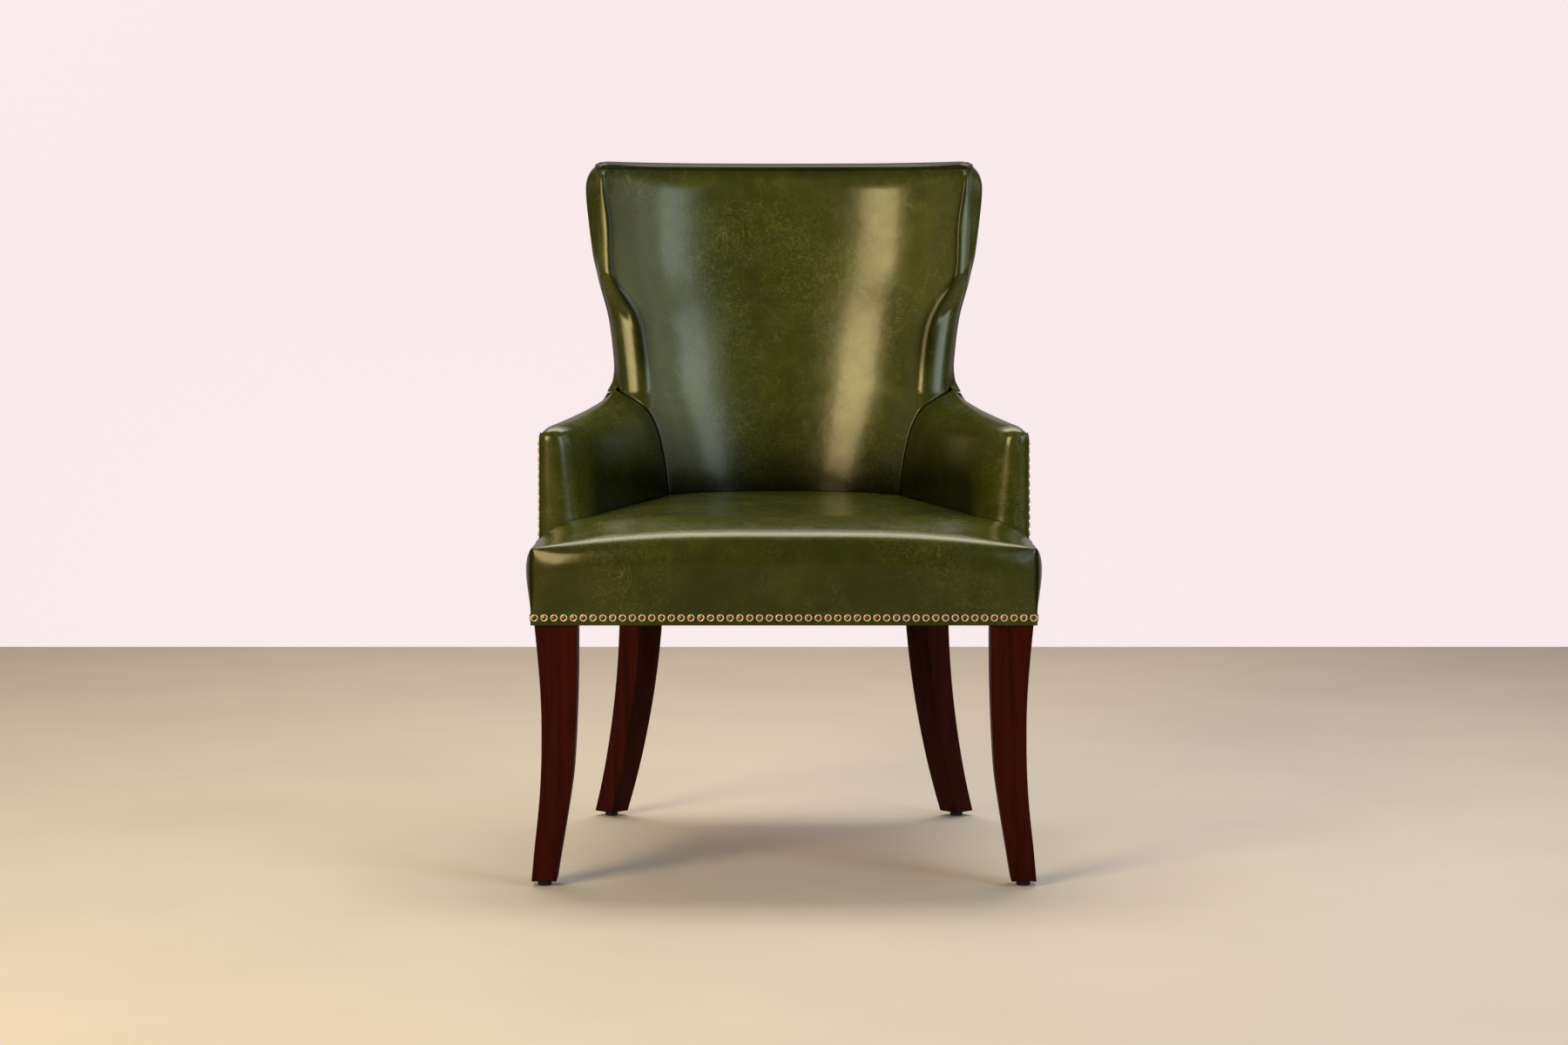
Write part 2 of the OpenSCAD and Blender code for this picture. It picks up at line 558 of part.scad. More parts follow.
// Padding between the rails and the leather of the seat band
pad_qs = [1, 0.86, 0.55, 0.45];
pad_path = concat(
    [for (j = [ear_rows - 1 : -1 : 0]) [0, j]],
    [for (i = [1 : seat_cols]) [i, 0]],
    [for (j = [1 : ear_rows - 1]) [seat_cols, j]]);
rail_inset = leather_t + band_pad_t;
function pad_point(p, q, inset) =
    q > 0.5 ? band_point(p, q, inset)
    : mix(band_point(p, 0.3, inset), band_point(p, 0.55, inset), (q - 0.3) / 0.25);
function rail_face_point(p, z) =
    let (u = across(p[0], seat_cols), side = p[0] == 0 || p[0] == seat_cols)
    [side ? sign(u) * (half_w - rail_inset + gap) : u * (half_w - rail_inset + gap),
        p[1] == 0 ? -seat_front + rail_inset - gap
        : -seat_front + mix(rail_inset, ear_len - gap - leather_t, ear_row_share[p[1]]), z];
module rail_padding() {
    inset = leather_t + gap;
    outer = [for (q = pad_qs) [for (p = pad_path)
        let (b = pad_point(p, q, inset)) [b[0], b[1], b[2] + (q == 1 ? leather_t : 0)]]];
    inner = [for (k = [0 : len(pad_qs) - 1]) [for (b = [0 : len(pad_path) - 1])
        rail_face_point(pad_path[b], outer[k][b][2])]];
    color(foam_color) sheet(outer, inner);
}

// Seat frame
rail_front_y = rail_inset - seat_front;
side_in = panel_t + gap + frame_slack;
function side_rail_x(y) =
    y < -arm_front ? half_w - rail_inset : min(half_w - rail_inset, side_out_x(y, rail_top_h) - side_in);
rear_block_len = 40;
rear_block_y = side_end_y - rear_block_len;
module front_rail() {
    color(beech_color)
    translate([-(half_w - rail_inset - rail_t), rail_front_y, rail_bottom_h])
    cube([2 * (half_w - rail_inset - rail_t), rail_t, rail_h]);
}
module side_rail() {
    ys = concat([rail_front_y, -arm_front],
        [for (t = [1 : 4]) mix(-arm_front, rear_block_y, t / 4)]);
    color(beech_color)
    translate([0, 0, rail_bottom_h])
    linear_extrude(rail_h)
    polygon(concat(
        [for (y = ys) [side_rail_x(y), y]],
        [for (k = [len(ys) - 1 : -1 : 0]) [side_rail_x(ys[k]) - rail_t, ys[k]]]));
}
function back_rail_y(x) = min(outer_y(x, rail_bottom_h), outer_y(x, rail_top_h)) - panel_t - 7 * gap;
rear_block_w = 44;
rear_block_x = rear_x - rear_block_w;
module back_rail() {
    steps = 16;
    xs = [for (k = [0 : steps]) mix(-rear_block_x, rear_block_x, k / steps)];
    color(beech_color)
    translate([0, 0, rail_bottom_h])
    linear_extrude(rail_h)
    polygon(concat(
        [for (x = xs) [x, back_rail_y(x)]],
        [for (k = [steps : -1 : 0]) [xs[k], back_rail_y(xs[k]) - rail_t]]));
}
// Rear corner block: it takes both rails, the rear leg and the foot of the back post
module rear_block() {
    steps = 8;
    low = side_rail_x(rear_block_y);
    corner = rear_x - side_in - 4 * gap;
    arc = concat(
        [for (k = [0 : steps])
            let (x = mix(rear_block_x, corner, 1 - (1 - k / steps) ^ 2)) [x, back_rail_y(x)]],
        [[low, rear_block_y]]);
    difference() {
        color(beech_color)
        translate([0, 0, rail_bottom_h])
        linear_extrude(rail_h)
        polygon(concat(arc, [
            [low - rail_t, rear_block_y],
            [rear_leg_x - rear_leg_w * 0.9, rear_block_y],
            [rear_leg_x - rear_leg_w * 0.9, back_rail_y(rear_block_x) - rail_t - 4 * gap],
            [rear_block_x, back_rail_y(rear_block_x) - rail_t - 4 * gap]]));
        rear_bolt_place() {
            bolt_bore();
            translate([0, 0, block_h]) cylinder(d = leg_bolt_d * 3, h = rail_h, $fn = round_fn);
        }
    }
}
front_block = 74;
// Height of the corner blocks under the leg nuts
nut_room = 20;
block_h = rail_h - nut_room;
module front_corner_block() {
    x = half_w - rail_inset - rail_t;
    y = rail_front_y + rail_t;
    difference() {
        color(beech_color)
        translate([0, 0, rail_bottom_h])
        linear_extrude(block_h)
        polygon([[x, y], [x, y + front_block], [x - front_block * 0.35, y + front_block],
            [x - front_block, y + front_block * 0.35], [x - front_block, y]]);
        front_bolt_place() bolt_bore();
    }
}
module front_corner_blocks() {
    front_corner_block();
    mirror([1, 0, 0]) front_corner_block();
}

// Legs. Height shares run from the foot up.
leg_h = rail_bottom_h - glide_h;
front_leg_in = 4.7;
front_leg_back = 5;
front_leg_x = half_w - front_leg_in - front_leg_w / 2;
front_leg_y = -seat_front + front_leg_back + front_leg_d / 2;
front_bow_tab = [
    [0, 1], [0.14, 0.65], [0.29, 0.26], [0.42, 0], [0.55, -0.12], [0.69, -0.17], [0.83, -0.13], [1, 0]
];
front_width_tab = [
    [0, 0], [0.14, 0.14], [0.29, 0.26], [0.42, 0.4], [0.55, 0.48], [0.69, 0.59], [0.83, 0.76], [1, 1]
];
leg_steps = 20;
module leg_outline(top_w, foot_w, splay, bow, width) {
    shares = [for (k = [0 : leg_steps]) k / leg_steps];
    function middle(h) = splay * curve(bow, h);
    function half(h) = mix(foot_w, top_w, curve(width, h)) / 2;
    polygon(concat(
        [for (h = shares) [middle(h) + half(h), h * leg_h]],
        [for (k = [leg_steps : -1 : 0]) [middle(shares[k]) - half(shares[k]), shares[k] * leg_h]]));
}
straight_tab = [[0, 0], [0.5, 0.5], [1, 1]];
front_rake_tab = [[0, 1], [0.3, 0.4], [0.6, 0.08], [1, 0]];
front_foot_back = 10;
module front_leg() {
    difference() {
        color(stain_color)
        translate([front_leg_x, front_leg_y, glide_h])
        intersection() {
            rotate([90, 0, 0])
            translate([0, 0, -front_leg_w])
            linear_extrude(2 * front_leg_w)
            leg_outline(front_leg_w, front_foot_w, front_foot_out, front_bow_tab, front_width_tab);
            rotate([90, 0, 90])
            translate([0, 0, -2 * front_leg_w])
            linear_extrude(4 * front_leg_w)
            leg_outline(front_leg_d, front_foot_w, front_foot_back, front_rake_tab, straight_tab);
        }
        front_bolt_place() bolt_bore();
    }
}
rear_leg_x = 209;
rear_leg_y = 244;
rear_sabre_tab = [
    [0, 1], [0.12, 0.78], [0.25, 0.575], [0.4, 0.378], [0.55, 0.22], [0.7, 0.102], [0.85, 0.027], [1, 0]
];
module rear_leg() {
    difference() {
        color(stain_color)
        translate([rear_leg_x, rear_leg_y, glide_h])
        rotate([0, 0, 45])
        intersection() {
            rotate([90, 0, 0])
            translate([0, 0, -rear_leg_w])
            linear_extrude(2 * rear_leg_w)
            leg_outline(rear_leg_w, rear_foot_w, rear_foot_out, rear_sabre_tab, straight_tab);
            rotate([90, 0, 90])
            translate([0, 0, -2 * rear_leg_w])
            linear_extrude(5 * rear_leg_w)
            leg_outline(rear_leg_w, rear_foot_w, 0, straight_tab, straight_tab);
        }
        rear_bolt_place() bolt_bore();
    }
}
// Leg bolts stand upright through the corner blocks into the legs
bolt_len_in_leg = 48;
bolt_above = 12;
bolt_clear = 0.2;
front_bolt_in = 13;
module front_bolt_place() {
    translate([front_leg_x - front_bolt_in, front_leg_y + front_bolt_in, rail_bottom_h]) children();
}
rear_bolt_in = 9;
module rear_bolt_place() {
    translate([rear_leg_x - rear_bolt_in, rear_leg_y - rear_bolt_in, rail_bottom_h]) children();
}
module bolt_bore() {
    translate([0, 0, -bolt_len_in_leg - bolt_clear])
    cylinder(d = leg_bolt_d + bolt_clear, h = bolt_len_in_leg + rail_h + bolt_clear + cut, $fn = round_fn);
}
module leg_bolt() {
    translate([0, 0, -bolt_len_in_leg])
    cylinder(d = leg_bolt_d, h = bolt_len_in_leg + block_h + bolt_above, $fn = round_fn);
}
washer_t = 1.6;
nut_h = 6.5;
module nut_and_washer() {
    translate([0, 0, block_h])
    difference() {
        union() {
            cylinder(d = leg_bolt_d * 2.4, h = washer_t, $fn = round_fn);
            translate([0, 0, washer_t]) cylinder(d = leg_bolt_d * 1.85, h = nut_h, $fn = 6);
        }
        translate([0, 0, -cut])
        cylinder(d = leg_bolt_d + bolt_clear, h = nut_h + washer_t + 2 * cut, $fn = round_fn);
    }
}
module at_each_leg() {
    for (side = [0, 1]) mirror([side, 0, 0]) {
        front_bolt_place() children();
        rear_bolt_place() children();
    }
}
module leg_bolts() { color(steel_color) at_each_leg() leg_bolt(); }
module leg_nuts_and_washers() { color(steel_color) at_each_leg() nut_and_washer(); }
glide_edge = 1;
module glide(x, y) {
    color(black_color)
    translate([x, y, 0])
    rotate_extrude($fn = round_fn)
    polygon([
        [0, 0], [glide_d / 2 - glide_edge, 0], [glide_d / 2, glide_edge],
        [glide_d / 2, glide_h], [0, glide_h]]);
}
front_glide_x = front_leg_x + front_foot_out;
front_glide_y = front_leg_y + front_foot_back;
rear_glide_x = rear_leg_x + rear_foot_out * sin(45);
rear_glide_y = rear_leg_y + rear_foot_out * sin(45);

// Frame of the back
function mid_y(x, z) = (foam_back_y(min(x, edge_x(z) * 0.97), z) + outer_y(x, z) - panel_t) / 2;
post_foot_in = 18;
post_foot_x = rear_x - post_foot_in;
post_foot_y = 222;
post_side = leather_t + band_pad_t + 2 * frame_slack;
post_short = 19;
post_top_h = ridge_h - post_short;
function post_section(z) =
    let (
        low = z < arm_back_h, t = low ? (z - rail_top_h) / (arm_back_h - rail_top_h) : 1,
        zz = max(z, arm_back_h),
        xo = mix(post_foot_x + post_w / 2, edge_x(zz) - post_side, t), xi = xo - post_w,
        yi = mix(post_foot_y, mid_y(edge_x(zz) - post_side - post_w, zz), t),
        yo = mix(post_foot_y, mid_y(edge_x(zz) - post_side, zz), t),
        d = post_d / 2
    )
    [[xi, yi - d, z], [xo, yo - d, z], [xo, yo + d, z], [xi, yi + d, z]];
post_place_share = [0, 0.2, 0.427, 0.51, 0.61, 0.725, 0.86, 1];
module back_post() {
    color(beech_color)
    bar([for (t = post_place_share) post_section(mix(rail_top_h, post_top_h, t))]);
}
crest_rail_h = 46;
module curved_rail(z, h, reach, thick) {
    steps = 16;
    xs = [for (k = [0 : steps]) mix(-reach, reach, k / steps)];
    color(beech_color)
    translate([0, 0, z])
    linear_extrude(h)
    polygon(concat(
        [for (x = xs) [x, mid_y(abs(x), z + h / 2) + thick / 2]],
        [for (k = [steps : -1 : 0]) [xs[k], mid_y(abs(xs[k]), z + h / 2) - thick / 2]]));
}
function post_inner_x(z) = post_section(z)[0][0];
module crest_rail() {
    z = post_top_h - crest_rail_h;
    curved_rail(z, crest_rail_h, post_inner_x(z) - gap, rail_t * 0.8);
}
lower_rail_up = 20;
lower_rail_z = seat_back_h + lower_rail_up;
module lower_back_rail() {
    reach = min(post_inner_x(lower_rail_z), post_inner_x(lower_rail_z + crest_rail_h)) - gap;
    curved_rail(lower_rail_z, crest_rail_h, reach, rail_t * 0.8);
}

// Frame of the arms. The rail fills the arm between its foam and the outside panel.
arm_post_w = 14;
arm_post_d = 40;
arm_rail_d = 26;
arm_rail_chamfer = 9;
arm_rail_s = [0.9, 0.75, 0.6, 0.45, 0.3, 0.15];
function arm_rail_top(s) =
    let (p = arm_point(s, 1)) p[2] + arm_crown(s) - arm_drop[3] - arm_top_round * 0.15 - gap;
function arm_rail_section(s) =
    let (
        top = arm_rail_top(s), low = top - arm_rail_d, r = 1 - arm_rail_d / (arm_front_h - tuck_h),
        p = arm_point(s, 1), xi = max(p[0], arm_point(s, r)[0]) + arm_in(3, r) + 2 * gap,
        xo = side_out_x(p[1], top) - side_in
    )
    [[xi, p[1], low], [xi, p[1], top], [xo, p[1], top - arm_rail_chamfer], [xo, p[1], low]];
arm_post_y = arm_round + 2 * frame_slack - arm_front;
module arm_rail() {
    last = arm_rail_section(arm_rail_s[len(arm_rail_s) - 1]);
    low = last[0][2];
    post = post_section(low);
    y = min(post[0][1], post[1][1]) - gap;
    xm = (post[0][0] + post[1][0]) / 2;
    w = (last[3][0] - last[0][0]) / 2;
    color(beech_color)
    bar(concat([for (s = arm_rail_s) arm_rail_section(s)],
        [[[xm - w, y, low], [xm - w, y, last[2][2]], [xm + w, y, last[2][2]], [xm + w, y, low]]]));
}
module arm_post() {
    top = arm_rail_section(arm_rail_s[0])[0][2] - gap;
    function outside(y) = side_out_x(y, arm_front_h) - side_in;
    rear = arm_post_y + arm_post_d;
    color(beech_color)
    translate([0, 0, rail_top_h])
    linear_extrude(top - rail_top_h - 2 * frame_slack)
    polygon([
        [outside(arm_post_y) - arm_post_w, arm_post_y], [outside(arm_post_y), arm_post_y],
        [outside(rear), rear], [outside(rear) - arm_post_w, rear]]);
}

// Webbing of the back: upright straps between the lower rail and the crest rail
strap_w = 50;
strap_t = 1.5;
strap_pitch = 75;
module back_webbing() {
    ends = [lower_rail_z, post_top_h - crest_rail_h];
    function front(x, z) = mid_y(abs(x), z + crest_rail_h / 2) - rail_t * 0.4 - 2 * gap;
    color(jute_color)
    for (k = [-2 : 2])
        bar([for (z = ends) for (up = [0.1, 1])
            let (
                x = k * strap_pitch,
                rail = z == ends[0] ? ends[0] : ends[1],
                a = front(x - strap_w / 2, rail), b = front(x + strap_w / 2, rail),
                zz = z == ends[0] ? rail + up * crest_rail_h : rail + (up - 0.1) * crest_rail_h
            )
            [[x - strap_w / 2, a - strap_t, zz], [x + strap_w / 2, b - strap_t, zz],
                [x + strap_w / 2, b, zz], [x - strap_w / 2, a, zz]]]);
}

// Sinuous springs run from the front rail to the back rail, hooked in clips
spring_count = 5;
spring_pitch = 84;
spring_loops = 12;
spring_half = 22;
clip_w = 14;
clip_len = 16;
spring_z = rail_top_h + wire_d / 2 + gap;
function spring_x(k) = (k - (spring_count - 1) / 2) * spring_pitch;
hook_in = 10;
spring_end = 10;
spring_y0 = rail_front_y + rail_t - hook_in;
function spring_y1(k) = back_rail_y(spring_x(k)) - rail_t + hook_in;
function spring_route(k) =
    let (x = spring_x(k), y0 = spring_y0, y1 = spring_y1(k), step = (y1 - y0) / spring_loops)
    concat(
        [[x - spring_end, y0, spring_z], [x + spring_end, y0, spring_z]],
        [for (n = [0 : spring_loops - 1])
            let (w = n % 2 == 0 ? spring_half : -spring_half)
            each [
                if (n > 0) [x + w * 0.75, y0 + (n + 0.04) * step, spring_z],
                [x + w, y0 + (n + 0.35) * step, spring_z],
                [x + w, y0 + (n + 0.65) * step, spring_z],
                if (n < spring_loops - 1) [x + w * 0.75, y0 + (n + 0.96) * step, spring_z]]],
        [[x - spring_end, y1, spring_z], [x + spring_end, y1, spring_z]]);
wire_sides = 6;
function wire_ring(route, k) =
    let (
        ahead = route[min(len(route) - 1, k + 1)] - route[max(0, k - 1)],
        dir = ahead / norm(ahead), side = cross(dir, [0, 0, 1])
    )
    [for (a = [0 : wire_sides - 1])
        route[k] + wire_d / 2 * (side * cos(360 * a / wire_sides) + [0, 0, 1] * sin(360 * a / wire_sides))];
module wire(route) {
    rings = len(route);
    n = wire_sides;
    polyhedron(
        points = [for (k = [0 : rings - 1]) each wire_ring(route, k)],
        faces = concat(
            [for (k = [0 : rings - 2]) for (a = [0 : n - 1])
                each quad(n * k + a, n * k + (a + 1) % n, n * (k + 1) + (a + 1) % n, n * (k + 1) + a)],
            [for (a = [1 : n - 2]) [0, a, a + 1]],
            [for (a = [1 : n - 2]) [for (v = [0, a + 1, a]) n * (rings - 1) + v]]));
}
module seat_springs() { color(steel_color) for (k = [0 : spring_count - 1]) wire(spring_route(k)); }
module spring_clip(x, y) {
    color(steel_color)
    translate([x - clip_w / 2, y - clip_len / 2, rail_top_h])
    difference() {
        cube([clip_w, clip_len, clip_h]);
        translate([-cut, clip_len * 0.2, -cut])
        cube([clip_w + 2 * cut, clip_len * 0.6, clip_h - clip_t + cut]);
    }
}
module spring_clips() {
    for (k = [0 : spring_count - 1]) {
        spring_clip(spring_x(k), spring_y0);
        spring_clip(spring_x(k), spring_y1(k));
    }
}
module seat_deck() {
    inset = 14;
    right = [for (j = [0 : seat_rows])
        let (e = seat_edge(j, tuck_h, inset)) [e[0], max(e[1], inset - seat_front)]];
    rear = [for (i = [seat_cols - 1 : -1 : 1])
        let (p = seat_xy(i, seat_rows, tuck_h, inset)) [p[0], p[1]]];
    color(jute_color)
    translate([0, 0, deck_h])
    linear_extrude(deck_t)
    polygon(concat(right, rear, [for (j = [seat_rows : -1 : 0]) [-right[j][0], right[j][1]]]));
}

// Black cloth under the seat, cut round the legs
dust_t = 1;
dust_inset = 12;
leg_room = 3;
module dust_outline() {
    function side(y) = side_rail_x(y) - dust_inset;
    ys = [for (t = [0 : 6]) mix(rail_front_y + dust_inset, rear_block_y, t / 6)];
    xs = [for (t = [0 : 8]) mix(rear_block_x - dust_inset, -rear_block_x + dust_inset, t / 8)];
    polygon(concat(
        [for (y = ys) [side(y), y]],
        [for (x = xs) [x, back_rail_y(x) - dust_inset]],
        [for (k = [len(ys) - 1 : -1 : 0]) [-side(ys[k]), ys[k]]]));
}
module leg_tops() {
    for (side = [0, 1]) mirror([side, 0, 0]) {
        translate([front_leg_x, front_leg_y])
        square([front_leg_w + 2 * leg_room, front_leg_d + 2 * leg_room], center = true);
        translate([rear_leg_x, rear_leg_y]) rotate(45) square(rear_leg_w + 2 * leg_room, center = true);
    }
}
module dust_cover() {
    color(black_color)
    translate([0, 0, rail_bottom_h - dust_t])
    linear_extrude(dust_t)
    difference() {
        dust_outline();
        leg_tops();
    }
}

// Nail heads: shallow domes whose flat backs lie on the leather
module nail() {
    r = nail_d / 2;
    ball = (r * r + nail_h * nail_h) / (2 * nail_h);
    color(brass_color)
    rotate_extrude($fn = round_fn)
    intersection() {
        translate([0, nail_h - ball]) circle(ball, $fn = 2 * round_fn);
        square([r, nail_h]);
    }
}
module nail_facing(at, turn) { translate(at) rotate([0, 0, turn]) rotate([90, 0, 0]) nail(); }
nail_z = rail_bottom_h + nail_up;
side_turn = 90 + atan((half_w - rear_x) / (side_end_y + arm_front));
function count_for(length, pitch) = max(1, floor(length / pitch));
module front_nails() {
    room = 2 * half_w - nail_d;
    n = count_for(room, nail_pitch);
    q = (corner_h - nail_z) / (corner_h - rail_bottom_h);
    for (k = [0 : n]) {
        x = (k / n - 0.5) * room;
        u = abs(x) / half_w;
        y = -seat_front - front_bulge * swell(q) * (1 - u ^ 8) - gap;
        nail_facing([x, y, nail_z], 0);
    }
}
module side_nails() {
    q = (corner_h - nail_z) / (corner_h - rail_bottom_h);
    ear_room = ear_len - nail_d - panel_t;
    m = count_for(ear_room, nail_pitch);
    for (k = [0 : m]) {
        t = (nail_d * 0.6 + k * ear_room / m) / ear_len;
        x = half_w + side_bulge * swell(q) * (1 - abs(2 * t - 1) ^ 4) + gap;
        nail_facing([x, -seat_front + t * ear_len, nail_z], 90);
    }
    low = -arm_front + arm_round / 2 + nail_d;
    room = side_end_y - low - nail_d / 2;
    n = count_for(room, nail_pitch);
    for (k = [0 : n]) {
        y = low + room * k / n;
        nail_facing([side_out_x(y, nail_z) + gap, y, nail_z], side_turn);
    }
}
module back_nails() {
    rows = back_panel(0);
    t = nail_up / (panel_row_share[1] * (panel_top_h - rail_bottom_h));
    pts = [for (k = [panel_cols : -1 : 0]) let (p = mix(rows[0][k], rows[1][k], t)) [p[0], p[1]]];
    runs = [for (k = 0, s = 0; k <= panel_cols;
        s = k < panel_cols ? s + norm(pts[k + 1] - pts[k]) : s, k = k + 1) [s, k]];
    total = runs[panel_cols][0] - nail_d;
    n = count_for(total, nail_pitch);
    for (c = [0 : n]) {
        want = nail_d / 2 + total * c / n;
        k = max([for (r = runs) if (r[0] <= want && r[1] < panel_cols) r[1]]);
        d = pts[k + 1] - pts[k];
        p = mix(pts[k], pts[k + 1], (want - runs[k][0]) / norm(d));
        turn = 180 + atan2(d[1], d[0]);
        nail_facing([p[0] + 2 * gap * sin(turn), p[1] - 2 * gap * cos(turn), nail_z], turn);
    }
}
module arm_nails() {
    y = -arm_front + arm_round / 2 + nail_d * 0.62;
    low = nail_z + nail_pitch;
    high = panel_top_z(y) - nail_d;
    n = count_for(high - low, arm_nail_pitch);
    for (k = [0 : n]) {
        z = mix(low, high, k / n);
        nail_facing([side_out_x(y, z) + 2 * gap, y, z], side_turn);
    }
}

front_rail();
back_rail();
on_left() side_rail();  // side_rail_left
side_rail();  // side_rail_right
front_corner_blocks();
on_left() rear_block();  // rear_block_left
rear_block();  // rear_block_right
on_left() front_leg();  // front_leg_left
front_leg();  // front_leg_right
on_left() rear_leg();  // rear_leg_left
rear_leg();  // rear_leg_right
leg_bolts();
leg_nuts_and_washers();
glide(-front_glide_x, front_glide_y);  // glide_front_left
glide(front_glide_x, front_glide_y);  // glide_front_right
glide(-rear_glide_x, rear_glide_y);  // glide_rear_left
glide(rear_glide_x, rear_glide_y);  // glide_rear_right
on_left() back_post();  // back_post_left
back_post();  // back_post_right
crest_rail();
lower_back_rail();
on_left() arm_post();  // arm_post_left
arm_post();  // arm_post_right
on_left() arm_rail();  // arm_rail_left
arm_rail();  // arm_rail_right
back_webbing();
seat_springs();
spring_clips();
seat_deck();
seat_foam();
rail_padding();
seat_cover();
back_foam();
inside_back_cover();
outside_back_panel();
on_left() arm_foam();  // arm_foam_left
arm_foam();  // arm_foam_right
on_left() arm_cover();  // inside_arm_cover_left
arm_cover();  // inside_arm_cover_right
on_left() arm_panel();  // outside_arm_panel_left
arm_panel();  // outside_arm_panel_right
dust_cover();
front_nails();
on_left() side_nails();  // side_nails_left
side_nails();  // side_nails_right
back_nails();
on_left() arm_nails();  // arm_nails_left
arm_nails();  // arm_nails_right
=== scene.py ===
import json
import math
import bpy
import numpy as np
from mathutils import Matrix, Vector


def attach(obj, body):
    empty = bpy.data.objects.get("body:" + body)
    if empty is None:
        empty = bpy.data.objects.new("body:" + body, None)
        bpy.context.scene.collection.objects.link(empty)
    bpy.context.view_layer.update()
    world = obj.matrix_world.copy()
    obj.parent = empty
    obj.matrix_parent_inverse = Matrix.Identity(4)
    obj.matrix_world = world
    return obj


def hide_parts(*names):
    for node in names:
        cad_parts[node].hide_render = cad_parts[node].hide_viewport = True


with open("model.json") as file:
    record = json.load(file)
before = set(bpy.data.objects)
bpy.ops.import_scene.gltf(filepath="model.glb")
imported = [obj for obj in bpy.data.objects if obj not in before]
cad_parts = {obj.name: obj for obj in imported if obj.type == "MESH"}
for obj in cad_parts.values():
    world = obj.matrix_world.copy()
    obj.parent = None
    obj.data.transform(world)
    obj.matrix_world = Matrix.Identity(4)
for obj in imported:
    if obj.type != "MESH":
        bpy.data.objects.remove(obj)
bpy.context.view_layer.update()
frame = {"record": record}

MM = 0.001

# Sizes in mm, as in the part's source, but for the arms, which stand fuller with their padding
seat_w, seat_front, ear_len = 658, 325, 115
rail_bottom_h, rail_h, corner_up, seat_crown = 347, 58, 100, 36
front_bulge, side_bulge = 18, 8
arm_w, arm_front_h, arm_back_h, arm_round = 48, 601, 635, 13
arm_foot_in, arm_hollow = 17, 18
arm_top_round, arm_top_crown, arm_pillow, bow_low, bow_top = 13, 7, 6, 13, -14
ridge_h, ridge_x, waist_x, kink_x, waist_h, kink_h = 955, 269, 240, 262, 680, 796
rake, back_inner_y, wing_low_y, wing_top_y = 12, 177, 100, 170
back_outer_low_y, back_t, rear_x = 297, 67.16, 246
wing_bulge, top_bulge = 15.5, 11
hollow_low_x, hollow_low_d = 190, 109
nail_d, nail_up, panel_t, gap, band_pad_t = 10.5, 10, 3, 0.3, 5
half_w = seat_w / 2
arm_front = seat_front - ear_len
rail_top_h = rail_bottom_h + rail_h
corner_h = rail_bottom_h + corner_up
crest_h = corner_h + seat_crown
seat_back_up = 7
seat_back_h = crest_h + seat_back_up
tuck_h = rail_top_h + 2 * seat_back_up

# Sizes in mm of what the scene adds: padding, seams, thickness of the covers, spacing of the nails
under_d, under_up, under_h = 15, 75, 90
fade_up, fade_h, fade_more_h, fade_x = 12, 44, 56, 44
roll_edge, waist_roll, wing_roll_top, wing_roll_low, wing_roll_h = 13, 50, 10, 20, 90
top_roll_d, top_roll_h = 6, 30
seam_depth, seam_w, seam_dark_w = 2.2, 2.0, 1.8
cover_t, arm_cover_t, back_board_t, arm_board_t = 1.8, 1.6, 2.6, 2.4
nail_pitch, arm_nail_pitch = 12.65, 10.7
arm_reach, arm_rise = 330, 205


def curve(tab, x):
    """Smooth curve through a table of places and values, as in the part's source."""
    xs = np.array([p[0] for p in tab], float)
    ys = np.array([p[1] for p in tab], float)
    n = len(tab)
    lo = np.maximum(np.arange(n) - 1, 0)
    hi = np.minimum(np.arange(n) + 1, n - 1)
    sl = (ys[hi] - ys[lo]) / (xs[hi] - xs[lo])
    x = np.asarray(x, float)
    i = np.clip(np.searchsorted(xs, x, side="left") - 1, 0, n - 2)
    h = xs[i + 1] - xs[i]
    t = np.clip((x - xs[i]) / h, 0, 1)
    return (ys[i] * (1 + 2 * t) * (1 - t) ** 2 + ys[i + 1] * t * t * (3 - 2 * t)
            + sl[i] * h * t * (1 - t) ** 2 - sl[i + 1] * h * t * t * (1 - t))


def mix(a, b, t):
    return a + (b - a) * t


def share_table(places, a, b, shares, low, high):
    return [(mix(a, b, p), mix(low, high, s)) for p, s in zip(places, shares)]


def smooth01(t):
    t = np.clip(t, 0, 1)
    return t * t * (3 - 2 * t)


# Form of the back
seam_low_x, seam_top_x = 163, waist_x - 4
seam_tab = share_table([0, 0.30, 0.43, 0.62, 0.81, 0.92, 1], tuck_h, arm_back_h,
                       [0, 0.03, 0.06, 0.15, 0.32, 0.58, 1], seam_low_x, seam_top_x)
ridge_tab = [(arm_back_h, seam_top_x), (waist_h, waist_x),
             (mix(waist_h, kink_h, 0.52), mix(waist_x, kink_x, 0.4)), (kink_h, kink_x),
             (mix(kink_h, ridge_h, 0.4), mix(kink_x, ridge_x, 0.55)), (ridge_h, ridge_x)]


def edge_x(z):
    return np.where(np.asarray(z) < arm_back_h, curve(seam_tab, z), curve(ridge_tab, z))


def inner_mid_y(z):
    return back_inner_y + (np.asarray(z) - seat_back_h) * math.tan(math.radians(rake))


def ridge_y(z):
    return mix(wing_low_y, wing_top_y, (np.asarray(z) - arm_back_h) / (ridge_h - arm_back_h))


def low_part(z):
    return np.clip((np.asarray(z) - seat_back_h) / (arm_back_h - seat_back_h), 0, 1)


def hollow_x(z):
    return np.where(z < arm_back_h, mix(hollow_low_x, seam_top_x, low_part(z)), edge_x(z))


